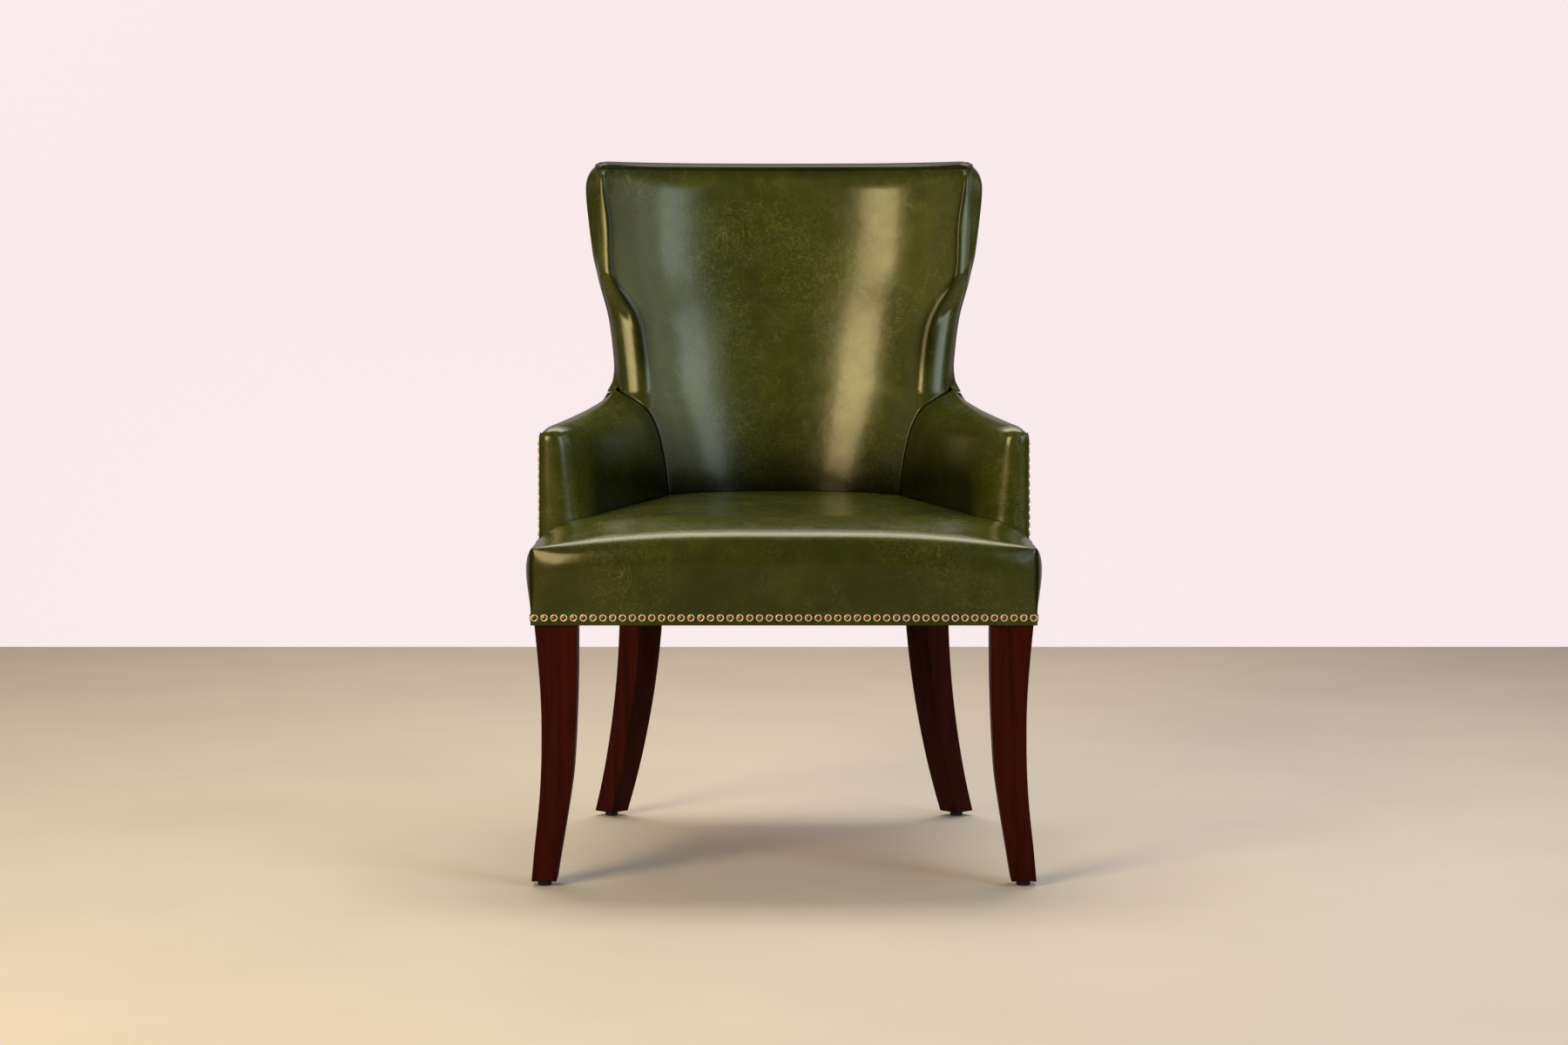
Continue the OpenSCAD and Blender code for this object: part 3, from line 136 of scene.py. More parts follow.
def hollow_d(z):
    return np.where(z < arm_back_h,
                    mix(hollow_low_d, inner_mid_y(arm_back_h) - ridge_y(arm_back_h), low_part(z)),
                    inner_mid_y(z) - ridge_y(z))


def hollow_power(z):
    return mix(4.6, 4.4, low_part(z))


def even_share(z):
    """How much of the hollow is one even curve: most of it low down, less where the wings bend forward."""
    return mix(0.66, 0.50, smooth01((np.asarray(z, float) - waist_h) / 190))


def hollow_y(x, z):
    """The hollow of the back: an even curve in the middle, a tighter bend towards the wings.

    Just above the seat its padding turns under towards the tuck.
    """
    under = under_d * np.clip((seat_back_h + under_up - np.asarray(z, float)) / under_h, 0, 1.3) ** 2
    u, even = np.abs(x) / hollow_x(z), even_share(z)
    return inner_mid_y(z) - hollow_d(z) * (even * u ** 2 + (1 - even) * u ** hollow_power(z)) + under


def hollow_lean(x, z):
    """How fast the hollow comes forward there, per unit of width."""
    u, p, even = np.abs(x) / hollow_x(z), hollow_power(z), even_share(z)
    return hollow_d(z) / hollow_x(z) * (2 * even * u + (1 - even) * p * u ** (p - 1))


def full_roll(z, off=0.0):
    """1 where the edge of the back is one full round roll, 0 where a wing has its tight ridge.

    Away from the edge (`off`) the one fades into the other over a longer height.
    """
    return smooth01((kink_h + fade_up - z) / (fade_h + fade_more_h * smooth01(off / fade_x)))


def rolled_y(x, z, end, wide, swing, fall, quarter):
    """The hollow with its edge rolled over: its slope swings round, fast at first, to a steady fall.

    `quarter` is the depth of the quarter round that ends it.
    """
    swing_power = 3.2
    start = end - wide
    lean = hollow_lean(start, z)
    t = np.clip((x - start) / wide, 0, 1)
    v = np.minimum(t / swing, 1)
    turned = t - swing * (1 - (1 - v) ** swing_power) / swing_power
    last = np.clip(1 - (end - x) / roll_edge, 0, 1)
    return (hollow_y(np.minimum(x, start), z) + wide * ((lean + fall) * turned - lean * t)
            + quarter * (1 - np.sqrt(1 - (last * 0.98) ** 2)))


def wing_roll(z):
    """Width of the roll that leads up to a wing's ridge."""
    return mix(wing_roll_top, wing_roll_low, smooth01((ridge_h - z) / wing_roll_h))


def soft_face_y(x, z):
    """The face as the padding shapes it: a narrow roll up to each wing's ridge, a full one above the arms."""
    x, z = np.abs(np.asarray(x, float)), np.asarray(z, float)
    end = edge_x(np.maximum(z, arm_back_h))
    fall = 0.38
    wing = rolled_y(x, z, end, wing_roll(z), 0.75, fall, 0)
    waist = rolled_y(x, z, end, waist_roll, 0.90, fall, roll_edge)
    y = mix(wing, waist, full_roll(z, end - x))
    return y + top_roll_d * np.clip((z - ridge_h + top_roll_h) / top_roll_h, 0, 1) ** 2.2


outer_low_x = rear_x + 4
top_h = ridge_h + top_bulge
outer_top_y = float(inner_mid_y(ridge_h)) + back_t
half_side_h = mix(rail_bottom_h, arm_back_h, 0.5)
outer_x_tab = [(rail_bottom_h, outer_low_x), (half_side_h, outer_low_x),
               (waist_h, waist_x + 7), (kink_h, kink_x + 4), (top_h, ridge_x + 8)]
outer_d_tab = [(rail_bottom_h, 62), (half_side_h, 89), (arm_back_h, 116), (top_h, 116)]
outer_power_tab = [(rail_bottom_h, 7), (half_side_h, 5), (arm_back_h, 3.5), (top_h, 2.4)]


def outer_y(x, z):
    mid = mix(back_outer_low_y, outer_top_y, (z - rail_bottom_h) / (top_h - rail_bottom_h))
    return mid - curve(outer_d_tab, z) * (np.abs(x) / curve(outer_x_tab, z)) ** curve(outer_power_tab, z)


bulge_tab = [(arm_back_h, wing_bulge * 1.2), (mix(arm_back_h, waist_h, 0.35), wing_bulge * 0.65),
             (waist_h, wing_bulge * 0.38), (kink_h, wing_bulge * 0.36),
             (mix(kink_h, ridge_h, 0.22), wing_bulge * 0.68), (mix(kink_h, ridge_h, 0.5), wing_bulge * 0.95),
             (mix(kink_h, ridge_h, 0.83), wing_bulge * 1.12), (ridge_h, wing_bulge * 0.75)]


def band_rise(q):
    q = np.asarray(q, float)
    return np.where(q < 0.55, np.sin(np.radians(90 * q / 0.55)), 1 - 0.35 * ((q - 0.55) / 0.45) ** 2)


def wing_out(z):
    return curve(bulge_tab, z)


def rear_edge_x(z):
    z = np.asarray(z, float)
    low = mix(rear_x, seam_top_x + wing_out(arm_back_h) * band_rise(1),
              (z - rail_bottom_h) / (arm_back_h - rail_bottom_h))
    return np.where(z < arm_back_h, low, edge_x(z) + wing_out(z) * band_rise(1))


# Form of the arms and sides
side_end_y = float(outer_y(rear_x, rail_bottom_h))
lean_tab = share_table([0, 0.13, 0.27, 0.38, 0.58, 0.75, 1], -arm_front, side_end_y,
                       [0, 0.42, 0.72, 0.92, 1, 0.8, 0.1], 0, arm_hollow)


def arm_top_z(y):
    return mix(arm_front_h, arm_back_h - arm_top_crown * 0.3,
               np.minimum(1, (y + arm_front) / (wing_low_y + arm_front)))


def panel_top_z(y):
    a = arm_top_z(y) - arm_top_round
    b = mix(arm_top_z(wing_low_y) - arm_top_round, arm_back_h - gap,
            np.minimum(1, (y - wing_low_y) / (side_end_y - wing_low_y) * 2.5))
    return np.where(y < wing_low_y, a, b)


def side_x(y):
    return mix(half_w, rear_x, (y + arm_front) / (side_end_y + arm_front))


def side_out_x(y, z):
    return side_x(y) - curve(lean_tab, y) * (z - rail_bottom_h) / (arm_back_h - rail_bottom_h)


def arm_point(s, r):
    """A point of an arm's inner side: `s` is 0 at the back and 1 in front, `r` 0 low down and 1 on top."""
    s, r = np.asarray(s, float), np.asarray(r, float)
    zr = mix(tuck_h, arm_back_h, r)
    zf = mix(tuck_h, arm_front_h - arm_top_crown, r)
    ex = edge_x(zr - gap)
    rx, ry = ex, soft_face_y(ex, zr - gap) - 2 * gap
    fx, fy = half_w - arm_w - arm_foot_in * (1 - r), arm_round - arm_front
    mx, my = (rx + fx) / 2 + 2 * mix(bow_low, bow_top, r), (ry + fy) / 2
    px = rx * (1 - s) ** 2 + mx * 2 * s * (1 - s) + fx * s ** 2
    py = ry * (1 - s) ** 2 + my * 2 * s * (1 - s) + fy * s ** 2
    pillow = arm_pillow * np.sin(np.pi * r ** 2) * np.sin(np.pi / 2 * np.minimum(1, 3 * s)) * (1 - s ** 6)
    return px - pillow, py, mix(zr, zf, s)


def round_corner(x, z, x_end, z_end, r):
    """Bring points beyond a quarter circle at the top corners of the back in to it."""
    dx = np.maximum(np.abs(x) - x_end + r, 0)
    dz = np.maximum(z - z_end + r, 0)
    far = np.hypot(dx, dz)
    k = np.where((dx > 0) & (dz > 0) & (far > r), r / np.maximum(far, 1e-6), 1)
    return (np.where(dx > 0, np.sign(x) * (x_end - r + dx * k), x), np.where(dz > 0, z_end - r + dz * k, z))


# Mesh helpers
def add_object(name, data):
    ob = bpy.data.objects.new(name, data)
    bpy.context.scene.collection.objects.link(ob)
    return ob


def new_object(name, pts, faces, mat):
    me = bpy.data.meshes.new(name)
    me.from_pydata((np.asarray(pts, float) * MM).tolist(), [], faces)
    me.validate()
    me.update()
    me.polygons.foreach_set("use_smooth", [True] * len(me.polygons))
    me.materials.append(mat)
    return add_object(name, me)


def ease(pts, faces, weight, passes):
    """Round a fold: each point moves towards the mean of its neighbours, by its own weight."""
    f = np.array(faces)
    edges = np.concatenate([f[:, [a, (a + 1) % 4]] for a in range(4)])
    edges = np.unique(np.concatenate([edges, edges[:, ::-1]]), axis=0)
    start, end = edges[weight[edges[:, 0]] > 0].T
    count = np.maximum(np.bincount(start, minlength=len(pts)), 1)
    p = np.array(pts, float)
    for _ in range(passes):
        mean = np.stack([np.bincount(start, p[end, a], len(p)) / count for a in range(3)], -1)
        p += weight[:, None] * (mean - p)
    return p


def mark(ob, name, value):
    """Write a value per point for the leather: "seam" is 1 in a seam, where its shadow is painted, "shade" 1
    where painted shade is full.
    """
    a = ob.data.attributes.new(name, "FLOAT", "POINT")
    a.data.foreach_set("value", np.asarray(value, np.float32))


def thicken(ob, t):
    """Give a cover its leather's thickness, inwards, and keep the result as plain mesh."""
    m = ob.modifiers.new("leather", "SOLIDIFY")
    m.thickness = t * MM
    m.offset = -1
    m.use_even_offset = False
    dg = bpy.context.evaluated_depsgraph_get()
    me = bpy.data.meshes.new_from_object(ob.evaluated_get(dg))
    old = ob.data
    ob.modifiers.clear()
    ob.data = me
    me.name = ob.name
    bpy.data.meshes.remove(old)
    me.polygons.foreach_set("use_smooth", [True] * len(me.polygons))


def ringed(face, path, rings, closed=False):
    """Points and faces of a face grid and the rings of points that leave it along a path."""
    m, n = face.shape[0] - 1, face.shape[1] - 1
    count = (n + 1) * (m + 1)
    length = len(path)

    def at(i, j):
        return j * (n + 1) + i

    def ring(k, b):
        b %= length
        return at(*path[b]) if k == 0 else count + (k - 1) * length + b

    faces = [(at(i, j), at(i + 1, j), at(i + 1, j + 1), at(i, j + 1)) for j in range(m) for i in range(n)]
    last = length if closed else length - 1
    for k in range(len(rings)):
        for b in range(last):
            faces.append((ring(k, b), ring(k, b + 1), ring(k + 1, b + 1), ring(k + 1, b)))
    return np.concatenate([face.reshape(-1, 3)] + rings), faces


def on_side(side, pts, faces):
    """A piece made for the right side, mirrored for the left one."""
    if side == "right":
        return pts, faces
    p = np.array(pts, float)
    p[:, 0] *= -1
    return p, [tuple(reversed(f)) for f in faces]


# Materials
def material(name):
    m = bpy.data.materials.new(name)
    m.use_nodes = True
    nt = m.node_tree
    nt.nodes.clear()
    out = nt.nodes.new("ShaderNodeOutputMaterial")
    bsdf = nt.nodes.new("ShaderNodeBsdfPrincipled")
    nt.links.new(bsdf.outputs[0], out.inputs[0])
    return m, Nodes(nt), bsdf


class Nodes:
    """Short ways to add the nodes of one material."""

    def __init__(self, nt):
        self.nt = nt
        self.object = self.new("TexCoord").outputs["Object"]

    def new(self, kind):
        return self.nt.nodes.new("ShaderNode" + kind)

    def put(self, socket, v):
        """Link a socket to an output, or set it to a constant."""
        if isinstance(v, (int, float)):
            socket.default_value = v
        elif isinstance(v, tuple):
            socket.default_value = (*v, 1) if socket.type == "RGBA" else v
        else:
            self.nt.links.new(v, socket)

    def fill(self, node, **values):
        """Fill sockets by name, with an underscore for each space of the name."""
        for name, v in values.items():
            self.put(node.inputs[name.replace("_", " ")], v)
        return node.outputs[0]

    def feed(self, node, *values):
        """Fill the first sockets in their order."""
        for socket, v in zip(node.inputs, values):
            self.put(socket, v)
        return node.outputs[0]

    def mapping(self, scale, rot=(0, 0, 0)):
        return self.fill(self.new("Mapping"), Vector=self.object, Scale=scale, Rotation=rot)

    def noise(self, vec, scale, detail=4, rough=0.5, distort=0.0, out="Fac"):
        n = self.new("TexNoise")
        self.fill(n, Vector=vec, Scale=scale, Detail=detail, Roughness=rough, Distortion=distort)
        return n.outputs[out]

    def math(self, op, a, b=0.0, clamp=False):
        n = self.new("Math")
        n.operation = op
        n.use_clamp = clamp
        return self.feed(n, a, b)

    def add(self, a, b):
        return self.math("ADD", a, b)

    def times(self, a, b, clamp=False):
        return self.math("MULTIPLY", a, b, clamp)

    def warp(self, vec, by, s):
        """Places moved aside by a colour noise, up to `s` metres."""
        scaled, n = self.new("VectorMath"), self.new("VectorMath")
        scaled.operation, n.operation = "SCALE", "ADD"
        self.put(scaled.inputs["Scale"], s)
        return self.feed(n, vec, self.feed(scaled, by))

    def ramp(self, fac, stops):
        n = self.new("ValToRGB")
        for e, (p, c) in zip(n.color_ramp.elements, stops):
            e.position = p
            e.color = (*c, 1)
        for p, c in stops[2:]:
            n.color_ramp.elements.new(p).color = (*c, 1)
        return self.feed(n, fac)

    def range(self, v, a, b, c, d):
        """The value `v` brought from between a and b to between c and d."""
        return self.feed(self.new("MapRange"), v, a, b, c, d)

    def blend(self, fac, a, b):
        n = self.new("Mix")
        n.data_type = "RGBA"
        self.put(n.inputs[0], fac)
        self.put(n.inputs[6], a)
        self.put(n.inputs[7], b)
        return n.outputs[2]

    def either(self, fac, a, b):
        """Shader `a` where `fac` is 0, `b` where it is 1."""
        return self.feed(self.new("MixShader"), fac, a, b)

    def bump(self, height, strength, dist, normal=None):
        under = {"Normal": normal} if normal else {}
        return self.fill(self.new("Bump"), Strength=strength, Distance=dist, Height=height, **under)

    def marked(self, name):
        """The value that `mark` wrote on the points."""
        n = self.new("Attribute")
        n.attribute_name = name
        return n.outputs["Fac"]

    def thin_lines(self, vec, scale, width, detail=3, distort=0.6):
        """Thin wandering lines: where a noise passes its middle value."""
        f = self.noise(vec, scale, detail, 0.55, distort)
        d = self.math("ABSOLUTE", self.math("SUBTRACT", f, 0.5))
        return self.range(d, 0.0, width, 1.0, 0.0)


def leather(name):
    m, n, b = material(name)
    dark, mid, light = (0.028, 0.033, 0.0022), (0.042, 0.049, 0.0034), (0.070, 0.079, 0.0062)
    pale_crease, seam_painted_shadow, painted_shade_green = (0.15, 0.16, 0.028), (0.002, 0.002, 0.001), (0.0012, 0.0016, 0.0003)
    obj = n.object
    warp = n.warp(obj, n.noise(obj, 9, 2, 0.5, 0, "Color"), 0.035)
    # Cloudy colour of pull-up leather, from hand-sized clouds down to fine mottle
    cloud = n.noise(warp, 7.5, 5, 0.62, 0.4)
    mottle = n.noise(warp, 42, 6, 0.68, 0.3)
    speck = n.noise(obj, 260, 3, 0.6)
    tone = n.add(n.add(n.times(cloud, 0.62), n.times(mottle, 0.32)), n.times(speck, 0.06))
    col = n.ramp(tone, [(0.32, dark), (0.50, mid), (0.68, light)])
    # Fine hair-like creases where the wax has moved, paler and yellower than the hide
    patch = n.range(n.noise(obj, 6.0, 3, 0.5), 0.40, 0.62, 0.0, 1.0)
    lines = n.math("MAXIMUM", n.thin_lines(warp, 21, 0.010),
                   n.thin_lines(n.mapping((1.6, 1, 0.7), (0.3, 0.5, 0.2)), 34, 0.010))
    fine = n.math("MAXIMUM", n.thin_lines(n.mapping((0.7, 1, 1.5), (0.1, 0.9, 0.4)), 75, 0.018, 2, 1.0),
                  n.thin_lines(n.mapping((1.4, 1.2, 0.6), (0.8, 0.1, 1.0)), 110, 0.020, 2, 1.0))
    crease = n.math("MAXIMUM", n.times(lines, n.range(n.noise(obj, 17, 2, 0.5), 0.46, 0.62, 0, 1)),
                    n.times(fine, n.times(patch, 0.8)))
    crease = n.times(crease, n.range(patch, 0, 1, 0.35, 1.0), True)
    col = n.blend(n.times(crease, 0.75), col, pale_crease)
    # Painted shadow in the seams: along each seam's groove the leather is darkened nearly to black and its
    # shine dulled
    seam, shade = n.marked("seam"), n.marked("shade")
    col = n.blend(n.times(seam, 0.92, True), col, seam_painted_shadow)
    # Painted shade: the colour darkens towards a deep green and the shine dulls where shade falls, low on the
    # back, inside the arms, on the back's rims, on the seat's band and in the folds beside the back's rolled
    # edges
    col = n.blend(n.times(shade, 1.0, True), col, painted_shade_green)
    painted_shade_dulling = n.range(shade, 0, 1, 1.0, 0.2)
    # Grain of the hide, the creases, and the slight unevenness of the padding
    grain = n.add(n.times(crease, -0.10), n.times(n.noise(obj, 210, 4, 0.6), 0.35))
    wave = n.noise(n.mapping((1, 1, 1)), 16, 3, 0.5, 0.4)
    n.fill(b, Base_Color=col, Specular_Tint=(1.0, 0.97, 0.66), IOR=1.5,
           Specular_IOR_Level=n.times(n.range(seam, 0, 0.7, 0.5, 0.02), painted_shade_dulling),
           Roughness=n.add(n.range(mottle, 0.3, 0.7, 0.21, 0.30), n.times(crease, 0.05)),
           Coat_Weight=n.times(n.range(seam, 0, 0.5, 0.24, 0.0), painted_shade_dulling), Coat_Roughness=0.14, Coat_IOR=1.5,
           Normal=n.bump(wave, 0.22, 0.004, n.bump(grain, 0.30, 0.0006)))
    return m


def wood(name, dark, light, rough, shine=0.3):
    m, n, b = material(name)
    along = n.mapping((1, 1, 0.055))
    warp = n.warp(along, n.noise(n.mapping((1, 1, 0.2)), 9, 2, 0.5, 0, "Color"), 0.012)
    ring = n.noise(warp, 85, 4, 0.6, 0.8)
    fibre = n.noise(n.mapping((1, 1, 0.02)), 900, 3, 0.7)
    tone = n.add(n.times(ring, 0.72), n.times(fibre, 0.28))
    bevel = n.new("Bevel")
    bevel.samples = 4
    rounded = n.fill(bevel, Radius=0.0014)
    n.fill(b, Base_Color=n.ramp(tone, [(0.34, dark), (0.66, light)]), Specular_IOR_Level=shine,
           Roughness=n.range(tone, 0.3, 0.7, rough + 0.06, rough - 0.04),
           Normal=n.bump(fibre, 0.12, 0.0003, rounded))
    return m


def metal(name, tone_a, tone_b, rough, whole=1.0):
    """Metal, or with `whole` below 1 partly a matt coat in the same colour."""
    m, n, b = material(name)
    f = n.noise(n.object, 420, 4, 0.6)
    n.fill(b, Base_Color=n.ramp(f, [(0.35, tone_a), (0.65, tone_b)]), Metallic=whole,
           Roughness=n.range(f, 0.3, 0.7, rough + 0.08, rough - 0.05), Normal=n.bump(f, 0.08, 0.0002))
    return m


def cloth(name, tone_a, tone_b, pitch, rough=0.9, strength=0.5):
    """Woven cloth with a thread every `pitch` metres."""
    m, n, b = material(name)
    waves = []
    for axis in ("X", "Y"):
        w = n.new("TexWave")
        w.bands_direction = axis
        n.fill(w, Vector=n.object, Scale=1 / pitch / 2, Distortion=1.5, Detail_Scale=2.0)
        waves.append(w.outputs["Fac"])
    weave = n.math("MAXIMUM", *waves)
    f = n.add(n.times(weave, 0.6), n.times(n.noise(n.object, 180, 4, 0.6), 0.4))
    n.fill(b, Base_Color=n.ramp(f, [(0.3, tone_a), (0.8, tone_b)]), Roughness=rough,
           Normal=n.bump(weave, strength, 0.0006))
    return m


def plastic(name, tone, rough):
    m, n, b = material(name)
    f = n.noise(n.object, 700, 3, 0.6)
    paler = tuple(c * 1.5 for c in tone)
    n.fill(b, Base_Color=n.ramp(f, [(0.3, tone), (0.7, paler)]), Normal=n.bump(f, 0.15, 0.0002),
           Roughness=n.range(f, 0.3, 0.7, rough - 0.05, rough + 0.08))
    return m


hide = leather("leather_green")
mahogany = wood("mahogany_stain", (0.018, 0.0014, 0.0003), (0.050, 0.0048, 0.0009), 0.42, 0.07)
beech = wood("beech", (0.42, 0.26, 0.13), (0.60, 0.42, 0.24), 0.6)
nail_rim = metal("brass_rim", (0.92, 0.76, 0.44), (1.0, 0.92, 0.66), 0.28, whole=0.45)
# The caps are dark: brass patina in their hollow, and a painted dark reflection there too
nail_cap = metal("brass_patina_and_painted_reflection", (0.05, 0.022, 0.010), (0.34, 0.20, 0.11), 0.30)
steel = metal("zinc_steel", (0.42, 0.42, 0.43), (0.58, 0.58, 0.60), 0.35)
jute = cloth("jute", (0.20, 0.13, 0.06), (0.42, 0.30, 0.16), 0.0028)
black_cloth = cloth("dust_cloth", (0.006, 0.006, 0.006), (0.022, 0.022, 0.022), 0.0011)
foam = cloth("foam_wadding", (0.62, 0.56, 0.42), (0.80, 0.75, 0.62), 0.004, 0.95, 0.2)
black_plastic = plastic("glide_plastic", (0.006, 0.006, 0.006), 0.45)
thread = cloth("thread", (0.006, 0.008, 0.003), (0.018, 0.022, 0.008), 0.0006, 0.7)

# Inside and outside of the back
def groove(d):
    """How far leather rolls down into a seam at distance d from it."""
    return seam_depth * np.exp(-(np.maximum(d, 0) / seam_w) ** 1.4)


def in_seam(d, width=seam_dark_w):
    """1 in a seam, 0 away from it."""
    return np.exp(-(d / width) ** 2)


def spread(count, share):
    """Places from -1 to 1; the larger the share, the closer together they come towards both ends."""
    lin = np.linspace(-1, 1, count)
    return mix(lin, np.sin(np.pi / 2 * lin), share)


def corner_pulls(x, z):
    """Pulls in the leather that run from each top corner down into the hollow."""
    lift = 0
    start_w, opens, fade = 4, 0.12, 12
    for turn, gain, length in ((-25, 1.3, 44), (-58, 0.5, 60)):
        a = math.radians(turn)
        dx, dz = ridge_x - np.abs(x), ridge_h - z
        along = dx * math.cos(a) - dz * math.sin(a)
        across = dx * math.sin(a) + dz * math.cos(a)
        w = start_w + opens * np.maximum(along, 0)
        lift = lift + gain * np.exp(-(across / w) ** 2 - (along / length) ** 2) * smooth01(along / fade)
    return lift


def back_shade(z, off):
    """Painted shade on the hollow's leather, at a height and a distance from its edge: darker low down above
    the seat and along the top.
    """
    low_h, top_h, turn_h = 140, 18, 16
    dark = (0.95 * np.clip((seat_back_h + low_h - z) / low_h, 0, 1) ** 1.2
            + 0.4 * smooth01((z - ridge_h + top_h) / turn_h))
    # Painted shade also in the fold where the hollow meets the roll of its edge, dimming the highlight there,
    # fading towards both ends
    inner_x, wing_in, waist_in, wing_fold_w, waist_fold_w = 25, 3, 11, 4.5, 11
    start_up, low_fade, top_fade = 8, 50, 40
    full = full_roll(z, inner_x)
    middle = mix(wing_roll(z) - wing_in, waist_roll - waist_in, full)
    fold = (off - middle) / mix(wing_fold_w, waist_fold_w, full)
    ends = smooth01((ridge_h - z) / top_fade) * smooth01((z - arm_back_h - start_up) / low_fade)
    return dark + 0.78 * np.exp(-fold ** 2) * (1 - dark) * ends


def inside_back():
    low = np.linspace(tuck_h, arm_back_h, 58)
    t = np.linspace(1, 0, 104)
    zs = np.concatenate([low[:-1], mix(ridge_h, arm_back_h, 0.45 * t + 0.55 * t ** 1.5)])
    band = len(low) - 1
    lin = np.linspace(-1, 1, 171)
    t = 1 - np.abs(lin)
    us = np.sign(lin) * (1 - (0.4 * t + 0.6 * t ** 1.5))
    m, n = len(zs) - 1, len(us) - 1
    Z, U = np.meshgrid(zs, us, indexing="ij")
    X = U * edge_x(Z)
    off = edge_x(Z) - np.abs(X)
    Y = soft_face_y(X, Z) + np.where(Z < arm_back_h, groove(off), 0) - corner_pulls(X, Z)
    face = np.stack([X, Y, Z], -1)
    path = np.array([(0, j) for j in range(band, m + 1)] + [(i, m) for i in range(1, n + 1)]
                    + [(n, j) for j in range(m - 1, band - 1, -1)])
    pi, pj = path.T
    z, u = zs[pj], us[pi]
    x = u * edge_x(z)
    is_side = (pi == 0) | (pi == n)
    is_top = pj == m
    corner_low_r, corner_more_r, deepest_dip = 4, 8, 20
    rings = []
    qs = np.linspace(0, 1, 29)[1:] ** 1.35
    for q in qs:
        turn = math.pi / 2 * min(1, q / 0.5)
        xo = np.where(is_side, x + np.sign(u) * wing_out(z) * band_rise(q), x)
        zo = z + np.where(is_top, top_bulge * math.sin(turn), 0)
        xo, zo = round_corner(xo, zo, float(np.abs(xo[is_top]).max()), float(zo.max()),
                              corner_low_r + corner_more_r * min(1, 2 * q))
        far = outer_y(xo, zo) - panel_t * 0.5
        start = np.minimum(soft_face_y(x, z), far - band_pad_t)
        dip = np.minimum(deepest_dip, (far - start) * 0.5)
        over = start + dip * (1 - math.cos(turn)) + (far - start - dip) * max(0, 2 * q - 1)
        rings.append(np.stack([xo, np.where(is_top & ~is_side, over, mix(start, far, q)), zo], -1))
    pts, faces = ringed(face, path.tolist(), rings)

    # How far from an edge its padding rounds it: over the top, and at the side by the height
    top_open, corner_open, band_w = 11.0, 16, 68

    def opening(z):
        return mix(3.5, 10, full_roll(z))

    d_side = np.where(Z >= arm_back_h + 2, off / opening(Z), 1e3)
    weights = [np.clip(np.maximum(1 - d_side, 1 - (ridge_h - Z) / top_open), 0, 1).reshape(-1)]
    # Distance of each place of the path from its nearer top corner
    from_corner = np.where(is_side, ridge_h - z, ridge_x - np.abs(x))
    for q in qs:
        reach = np.where(is_side & ~is_top, opening(z), top_open)
        corner = (1 - from_corner / corner_open) * min(1, (1 - q) * 6)
        weights.append(np.clip(np.maximum(1 - q * band_w / reach, corner), 0, 1))
    pts = ease(pts, faces, np.concatenate(weights) * 0.6, 45)
    ob = new_object("inside_back", pts, faces, hide)
    near = np.where(Z < arm_back_h + 1, in_seam(off), 0)
    mark(ob, "seam", np.concatenate([near.reshape(-1), np.zeros(len(rings) * len(path))]))
    # Painted shade on the back's rims, most on the top one
    rim_shade = np.tile(np.where(is_top, 0.75, 0.15), len(rings))
    mark(ob, "shade", np.concatenate([back_shade(Z, off).reshape(-1), rim_shade]))
    thicken(ob, cover_t)
    return ob


def board_relief(rim, fall, fall_w, rise, rise_w):
    """How far a covered board stands out at a distance from its rim."""
    return rise * smooth01(rim / rise_w) - fall * np.exp(-(rim / fall_w) ** 1.2)


def outside_back():
    side_in, top_in, corner_r = 0.6, 0.8, 12
    t = np.linspace(1, 0, 100)
    zs = mix(ridge_h + top_bulge * float(band_rise(1)), rail_bottom_h, 0.3 * t + 0.7 * t ** 1.3)
    Z, U = np.meshgrid(zs, -spread(121, 0.4), indexing="ij")
    X, Z = U * (rear_edge_x(Z) - side_in), np.minimum(Z, zs[-1] - top_in)
    rim = np.minimum(np.minimum(Z - zs[0], zs[-1] - Z), np.abs(X[:, :1]) - np.abs(X))
    # Its two top corners are rounded like the padding in front of them
    X, Z = round_corner(X, Z, float(rear_edge_x(ridge_h)) - side_in, zs[-1] - top_in, corner_r)
    Y = outer_y(X, Z) + board_relief(rim, 1.6, 7.0, 0.9, 60)
    pts, faces = ringed(np.stack([X, Y, Z], -1), [], [])
    ob = new_object("outside_back", pts, faces, hide)
    thicken(ob, back_board_t)
    return ob


